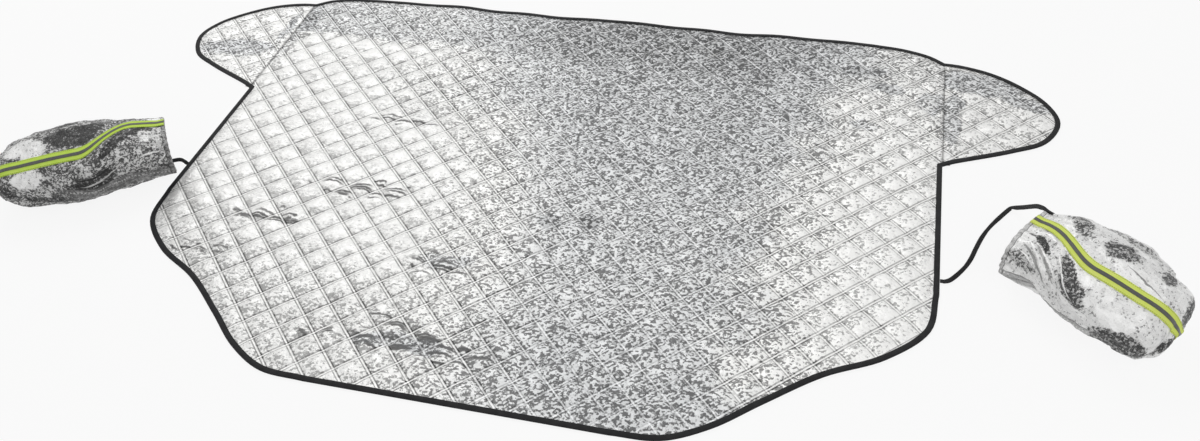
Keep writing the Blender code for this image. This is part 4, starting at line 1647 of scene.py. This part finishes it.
@dataclass
class Studio:
    """Pale floor, soft light and the camera.

    The floor lies floor_drop below the object. Ambient is the share of the white surroundings
    that lights the scene, and glow the share of the floor that shows white by itself.
    """

    place: Place = (0.5347, -1.4455, 1.3154)
    right: Place = (0.95694, 0.29029, 0.0)
    up: Place = (-0.19837, 0.65392, 0.7301)
    ahead: Place = (-0.21194, 0.69866, -0.68334)
    roll: float = math.radians(-4.149)
    lens: float = 31.5
    sensor: float = 36.0
    farthest: float = 50.0
    ambient: float = 0.50
    glow: float = 0.88
    floor_half: float = 14.0
    floor_drop: float = 0.0012
    floor_colour: Colour = (0.86, 0.86, 0.86)

    def camera(self) -> None:
        """Set up the camera at the photograph's place."""
        data = bpy.data.cameras.new("camera")
        data.lens = self.lens
        data.sensor_width = self.sensor
        data.sensor_fit = "HORIZONTAL"
        data.clip_end = self.farthest
        thing = bpy.data.objects.new("camera", data)
        right, up, ahead = Vector(self.right), Vector(self.up), Vector(self.ahead)
        c, s = math.cos(self.roll), math.sin(self.roll)
        turn = Matrix((right * c + up * s, up * c - right * s, -ahead)).transposed().to_4x4()
        thing.matrix_world = Matrix.Translation(Vector(self.place)) @ turn
        bpy.context.scene.collection.objects.link(thing)
        bpy.context.scene.camera = thing

    def lamp(self, name: str, place: Place, size: float, power: float) -> None:
        """Add a square soft box that faces the middle of the sheet.

        Args:
            name: Name of the lamp.
            place: Where it stands.
            size: Its side.
            power: Its power in watts.
        """
        data = bpy.data.lights.new(name, "AREA")
        data.size = size
        data.energy = power
        thing = bpy.data.objects.new(name, data)
        thing.location = place
        thing.rotation_euler = (-Vector(place)).to_track_quat("-Z", "Y").to_euler()
        bpy.context.scene.collection.objects.link(thing)

    def world(self) -> None:
        """White for the camera and for reflections, soft grey light for the rest."""
        sheet = NodeSheet("studio", "worlds")
        level = sheet.seen() * (1.0 - self.ambient) + self.ambient
        back = sheet.tree.nodes["Background"]
        sheet.feed(back.inputs["Strength"], level)
        sheet.feed(back.inputs["Color"], WHITE)
        bpy.context.scene.world = sheet.owner

    def floor(self) -> None:
        """Plain pale floor that keeps the object's shadow."""
        bm = bmesh.new()
        bmesh.ops.create_grid(bm, x_segments=1, y_segments=1, size=self.floor_half)
        bmesh.ops.translate(bm, verts=bm.verts, vec=(0, 0, -self.floor_drop))
        sheet = NodeSheet("pale_floor")
        matt = sheet.node("ShaderNodeBsdfDiffuse", None, {"Color": self.floor_colour})
        glow = sheet.node("ShaderNodeEmission", None, {"Color": WHITE, "Strength": 1.0})
        shares = {0: sheet.seen() * self.glow, 1: matt.outputs[0], 2: glow.outputs[0]}
        mixed = sheet.node("ShaderNodeMixShader", None, shares)
        sheet.feed(sheet.tree.nodes["Material Output"].inputs["Surface"], mixed.outputs[0])
        put("floor", bm, [sheet.owner])

    def build(self) -> None:
        """Set up the whole studio."""
        self.camera()
        self.world()
        self.floor()
        self.lamp("key_softbox", (-1.3, 2.1, 2.6), 2.2, 34.0)
        self.lamp("fill_softbox", (1.6, -1.8, 2.4), 2.4, 12.0)
        bpy.context.scene.view_settings.view_transform = "Standard"


# Routes of the straps, from the binding to the mouths of the covers
RIGHT_STRAP = (
    (0.0004, -0.1390, 0.0008, 0),
    (0.0040, -0.1390, 0.0008, 0),
    (0.0080, -0.1390, 0.0010, 5),
    (0.0165, -0.1345, 0.0020, 18),
    (0.0275, -0.1205, 0.0032, 40),
    (0.0395, -0.1010, 0.0037, 52),
    (0.0500, -0.0770, 0.0024, 25),
    (0.0585, -0.0500, 0.0014, 8),
    (0.0675, -0.0230, 0.0027, 30),
    (0.0775, 0.0000, 0.0040, 60),
    (0.0885, 0.0200, 0.0039, 55),
    (0.1005, 0.0390, 0.0026, 28),
    (0.1115, 0.0560, 0.0015, 10),
    (0.1210, 0.0665, 0.0034, 0),
    (0.1285, 0.0560, 0.0150, 70),
    (0.1345, 0.0340, 0.0370, 85),
    (0.1395, 0.0090, 0.0620, 85),
    (0.1435, -0.0140, 0.0840, 80),
    (0.1471, -0.0330, 0.0980, 50),
    (0.1503, -0.0424, 0.1026, 0),
    (0.1555, -0.0462, 0.1028, -22),
    (0.1623, -0.0512, 0.1028, -22),
)
LEFT_STRAP = (
    (0.0004, -0.0965, 0.0012, 0),
    (0.0030, -0.0965, 0.0024, 0),
    (0.0065, -0.0965, 0.0060, -15),
    (0.0115, -0.0990, 0.0122, -30),
    (0.0195, -0.1040, 0.0140, -32),
    (0.0295, -0.1110, 0.0136, -20),
    (0.0385, -0.1190, 0.0118, -6),
    (0.0545, -0.1360, 0.0095, 0),
    (0.0745, -0.1540, 0.0080, 0),
    (0.0965, -0.1680, 0.0069, 0),
    (0.1195, -0.1770, 0.0051, 0),
    (0.1405, -0.1790, 0.0043, 0),
    (0.1525, -0.1690, 0.0043, 0),
    (0.1515, -0.1540, 0.0047, 0),
    (0.1385, -0.1420, 0.0056, 0),
    (0.1175, -0.1310, 0.0074, 0),
    (0.0955, -0.1190, 0.0088, 0),
    (0.0735, -0.1070, 0.0110, 0),
    (0.0630, -0.1005, 0.0136, 2),
    (0.0540, -0.0950, 0.0150, 2),
)


# Patches of the sheet and of the flaps: where painted shade goes along creases, and darker patches of painted
# reflection, among them painted shade beside the seams
SHEET_CREASE_SHADE = (
    Streak(-0.490, -0.210, 0.085, 0.026),
    Streak(-0.345, -0.103, 0.115, 0.032),
    Streak(-0.337, 0.111, 0.085, 0.018),
    Streak(-0.125, -0.271, 0.066, 0.038),
    Streak(-0.585, -0.310, 0.070, 0.016),
    Streak(-0.278, -0.464, 0.030, 0.030),
    Streak(-0.173, -0.411, 0.055, 0.018),
    Streak(-0.095, -0.430, 0.080, 0.022),
    Streak(-0.154, -0.455, 0.085, 0.020),
    Streak(-0.050, -0.464, 0.105, 0.032),
)
SHEET_PAINTED_DARK = (
    Streak(-0.125, -0.262, 0.060, 0.022),
    Streak(-0.130, -0.455, 0.100, 0.024),
    Streak(0.037, -0.127, 0.026, 0.022),
    Streak(0.110, -0.113, 0.026, 0.022),
    Streak(0.560, 0.440, 0.050, 0.022),
    Streak(0.610, 0.380, 0.045, 0.022),
    Streak(0.580, 0.260, 0.040, 0.020),
    Streak(0.700, 0.350, 0.030, 0.045),
    Streak(-0.280, 0.260, 0.250, 0.180, 0, 0, -0.5),
    Streak(-0.705, 0.400, 0.022, 0.110, 0, 0, 0.1),
)
LEFT_FLAP_PAINTED_DARK = (
    Streak(-0.83, 0.300, 0.13, 0.044, 6, 0, 0.2),
    Streak(-0.745, 0.40, 0.016, 0.09, 0, 0, 0.2),
)
RIGHT_FLAP_PAINTED_DARK = (
    Streak(0.80, 0.435, 0.12, 0.050),
    Streak(0.89, 0.385, 0.07, 0.026),
    Streak(0.742, 0.305, 0.026, 0.100),
)


def sheets(whole: list[Vector]) -> list[bpy.types.Object]:
    """Build the main sheet with its tape, and the two door flaps.

    Args:
        whole: Outline of the whole cover.

    Returns:
        The finished pieces.
    """
    binding = Binding(whole).build()
    rim = Outline.inset(whole, RIM_INSET)
    panel = rim
    for sign in (1, -1):
        panel = Outline.clip(panel, Vector((sign, 0)), HALF_WIDTH - SEAM_GAP)
    phase = (-0.01617, -0.00324)
    main_sheet = QuiltedSheet(
        name="quilted_main_sheet",
        node="quilted_panel",
        outline=panel,
        rim=rim,
        phase=phase,
        finish=QuiltedFoil("quilted_foil_main", phase, SHEET_CREASE_SHADE, SHEET_PAINTED_DARK),
        seams=(-1, 1),
        seam_height=0.0046,
        flat=(1.455, 1.107),
    )
    pieces = [binding, main_sheet.build()]
    main_sheet.declare()
    # Each flap's darker patches hold painted shade beside its seam.
    for side, phase, dull in (
        (Side.LEFT, (-0.02991, -0.00179), LEFT_FLAP_PAINTED_DARK),
        (Side.RIGHT, (-0.03542, -0.00179), RIGHT_FLAP_PAINTED_DARK),
    ):
        outline = Outline.clip(rim, Vector((-side.value, 0)), -HALF_WIDTH - SEAM_GAP)
        outline = Outline.clip(outline, Vector((0, -1)), 0.0)
        flap = QuiltedSheet(
            name=f"{side.word}_door_flap",
            node=f"door_flap_{side.word}",
            outline=outline,
            rim=rim,
            phase=phase,
            finish=QuiltedFoil(f"quilted_foil_{side.word}_flap", phase, dull=dull, flap=True),
            seams=(side.value,),
            seam_height=0.0026,
            flat=(0.2205, 0.340),
        )
        pieces.append(flap.build())
        flap.declare()
    return pieces


# Painted highlight and shade patches and crease lines, and the folds, of the mirror covers, by distance from
# the mouth and from the ridge
LEFT_PAINTED_LIGHT_SPOTS = (
    Streak(0.285, 0.042, 0.060, 0.032, 18, 0.93, 0.45),
    Streak(0.279, -0.030, 0.034, 0.028, 0, 0.90, 0.45),
    Streak(0.178, 0.050, 0.066, 0.036, 4, 0.20, 0.60),
    Streak(0.080, -0.032, 0.064, 0.018, -13, 0.22, 0.60),
    Streak(0.150, -0.072, 0.060, 0.020, 17, 0.26, 0.40),
    Streak(0.022, -0.045, 0.030, 0.032, 0, 0.70, 0.40),
    Streak(0.018, 0.022, 0.020, 0.014, 0, 0.90, 0.40),
    Streak(0.230, 0.098, 0.055, 0.012, 0, 0.28, 0.40),
    Streak(0.338, -0.045, 0.022, 0.038, 0, 0.28, 0.30),
    Streak(0.250, -0.086, 0.060, 0.012, 8, 0.28, 0.40),
    Streak(0.150, -0.062, 0.050, 0.0020, 17, 0.14),
    Streak(0.140, -0.078, 0.055, 0.0018, 14, 0.80),
    Streak(0.175, -0.070, 0.045, 0.0018, 20, 0.16),
    Streak(0.032, -0.080, 0.026, 0.0018, -18, 0.96),
    Streak(0.014, -0.089, 0.012, 0.0020, -50, 0.96),
)
RIGHT_PAINTED_LIGHT_SPOTS = (
    Streak(0.075, -0.045, 0.060, 0.024, -20, 0.76, 0.40),
    Streak(0.030, -0.085, 0.034, 0.020, -10, 0.58, 0.30),
    Streak(0.128, -0.044, 0.048, 0.018, -35, 0.40, 0.60),
    Streak(0.044, -0.038, 0.030, 0.007, -5, 0.30, 0.50),
    Streak(0.255, -0.098, 0.080, 0.040, 10, 0.42, 0.60),
    Streak(0.212, -0.056, 0.036, 0.017, 6, 1.10, 0.60),
    Streak(0.155, 0.058, 0.034, 0.024, 10, 0.44, 0.40),
    Streak(0.070, 0.045, 0.044, 0.020, -10, 0.52, 0.30),
    Streak(0.120, 0.100, 0.110, 0.016, 4, 0.62, 0.30),
    Streak(0.236, 0.078, 0.018, 0.034, 0, 0.36, 0.40),
    Streak(0.203, 0.024, 0.048, 0.022, -6, 1.00, 0.50),
    Streak(0.318, 0.040, 0.030, 0.044, 0, 0.32, 0.10),
    Streak(0.320, -0.030, 0.015, 0.046, -20, 0.30, 0.20),
    Streak(0.052, -0.072, 0.042, 0.0036, -27, 0.55),
    Streak(0.068, -0.058, 0.042, 0.0034, -20, 0.62),
    Streak(0.055, -0.065, 0.048, 0.0020, -30, 0.98),
    Streak(0.074, -0.053, 0.048, 0.0022, -13, 0.98),
    Streak(0.049, -0.080, 0.040, 0.0018, -23, 0.98),
    Streak(0.050, -0.020, 0.015, 0.0018, 0, 0.99),
    Streak(0.113, -0.047, 0.042, 0.0018, -30, 0.99),
    Streak(0.210, 0.027, 0.042, 0.0014, -16, 0.52),
)
LEFT_FOLDS = (
    Fold((0.305, -0.075), (0.380, -0.080), -0.016, 0.034, True),
    Fold((0.330, 0.065), (0.380, 0.060), -0.010, 0.030, True),
    Fold((0.032, -0.019), (0.140, -0.046), -0.0030, 0.006),
    Fold((0.100, -0.090), (0.200, -0.058), -0.0030, 0.005),
    Fold((0.110, -0.076), (0.200, -0.048), 0.0030, 0.004),
    Fold((0.055, -0.088), (0.006, -0.072), 0.0030, 0.003),
    Fold((0.020, -0.100), (0.006, -0.082), 0.0030, 0.003),
    Fold((0.010, -0.050), (0.050, -0.055), 0.0025, 0.004),
)
RIGHT_FOLDS = (
    Fold((0.040, -0.105), (0.150, -0.108), -0.012, 0.055, True),
    Fold((0.490, -0.108), (0.600, -0.095), -0.019, 0.060, True),
    Fold((0.020, 0.035), (0.060, 0.055), 0.006, 0.030, True),
    Fold((0.245, 0.110), (0.345, 0.095), -0.017, 0.045, True),
    Fold((0.315, -0.005), (0.345, 0.010), 0.010, 0.034, True),
    Fold((0.015, -0.041), (0.095, -0.088), 0.0034, 0.004),
    Fold((0.028, -0.044), (0.120, -0.062), 0.0034, 0.004),
    Fold((0.012, -0.064), (0.086, -0.095), 0.0030, 0.004),
    Fold((0.034, -0.018), (0.066, -0.020), 0.0050, 0.005),
    Fold((0.066, -0.020), (0.146, -0.066), 0.0050, 0.005),
    Fold((0.092, -0.018), (0.150, -0.046), -0.0040, 0.008),
    Fold((0.173, 0.038), (0.246, 0.017), 0.0030, 0.003),
    Fold((0.292, 0.000), (0.318, -0.056), -0.0060, 0.006),
    Fold((0.180, -0.090), (0.250, -0.072), 0.0035, 0.006),
)


def covers() -> list[bpy.types.Object]:
    """Build both mirror covers.

    Returns:
        The finished pieces.
    """
    left = MirrorCover(
        side=Side.LEFT,
        mouth=(-HALF_WIDTH - 0.0175, -0.103),
        heading=math.radians(209.0),
        length=0.330,
        fill=0.90,
        ridge=(math.radians(104), math.radians(56), 0.12, 0.30),
        # The left cover's foil tone and tape yellows are darker than the right's: painted shade, as it lies
        # in shade.
        finish=CoverFoil("cover_foil_left", 0.50, LEFT_PAINTED_LIGHT_SPOTS, (-0.026, 0.33, 0.24, 0.44)),
        yellow=((0.66, 0.92, 0.12), (0.84, 1.0, 0.26)),
        folds=LEFT_FOLDS,
        seed=3.0,
        slant=0.21,
    )
    right = MirrorCover(
        side=Side.RIGHT,
        mouth=(HALF_WIDTH + 0.1265, -0.080),
        heading=math.radians(-36.0),
        length=0.270,
        fill=1.00,
        ridge=(math.radians(95), math.radians(65), 0.0, 0.45),
        finish=CoverFoil("cover_foil_right", 0.89, RIGHT_PAINTED_LIGHT_SPOTS, (-0.016, 0.20, 0.21, 0.60)),
        yellow=((0.86, 1.0, 0.18), (0.97, 1.0, 0.36)),
        folds=RIGHT_FOLDS,
        seed=11.0,
    )
    return left.build() + right.build()


def main() -> None:
    """Build the scene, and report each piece."""
    logging.basicConfig(level=logging.INFO, format="%(message)s")
    Studio().build()
    pieces = [Ribbon(Side.RIGHT, RIGHT_STRAP).build(), Ribbon(Side.LEFT, LEFT_STRAP).build()]
    pieces += sheets(Outline().whole())
    pieces += covers()
    for piece in pieces:
        LOG.info("%s: %d faces", piece.name, len(piece.data.polygons))


if __name__ == "__main__":
    main()
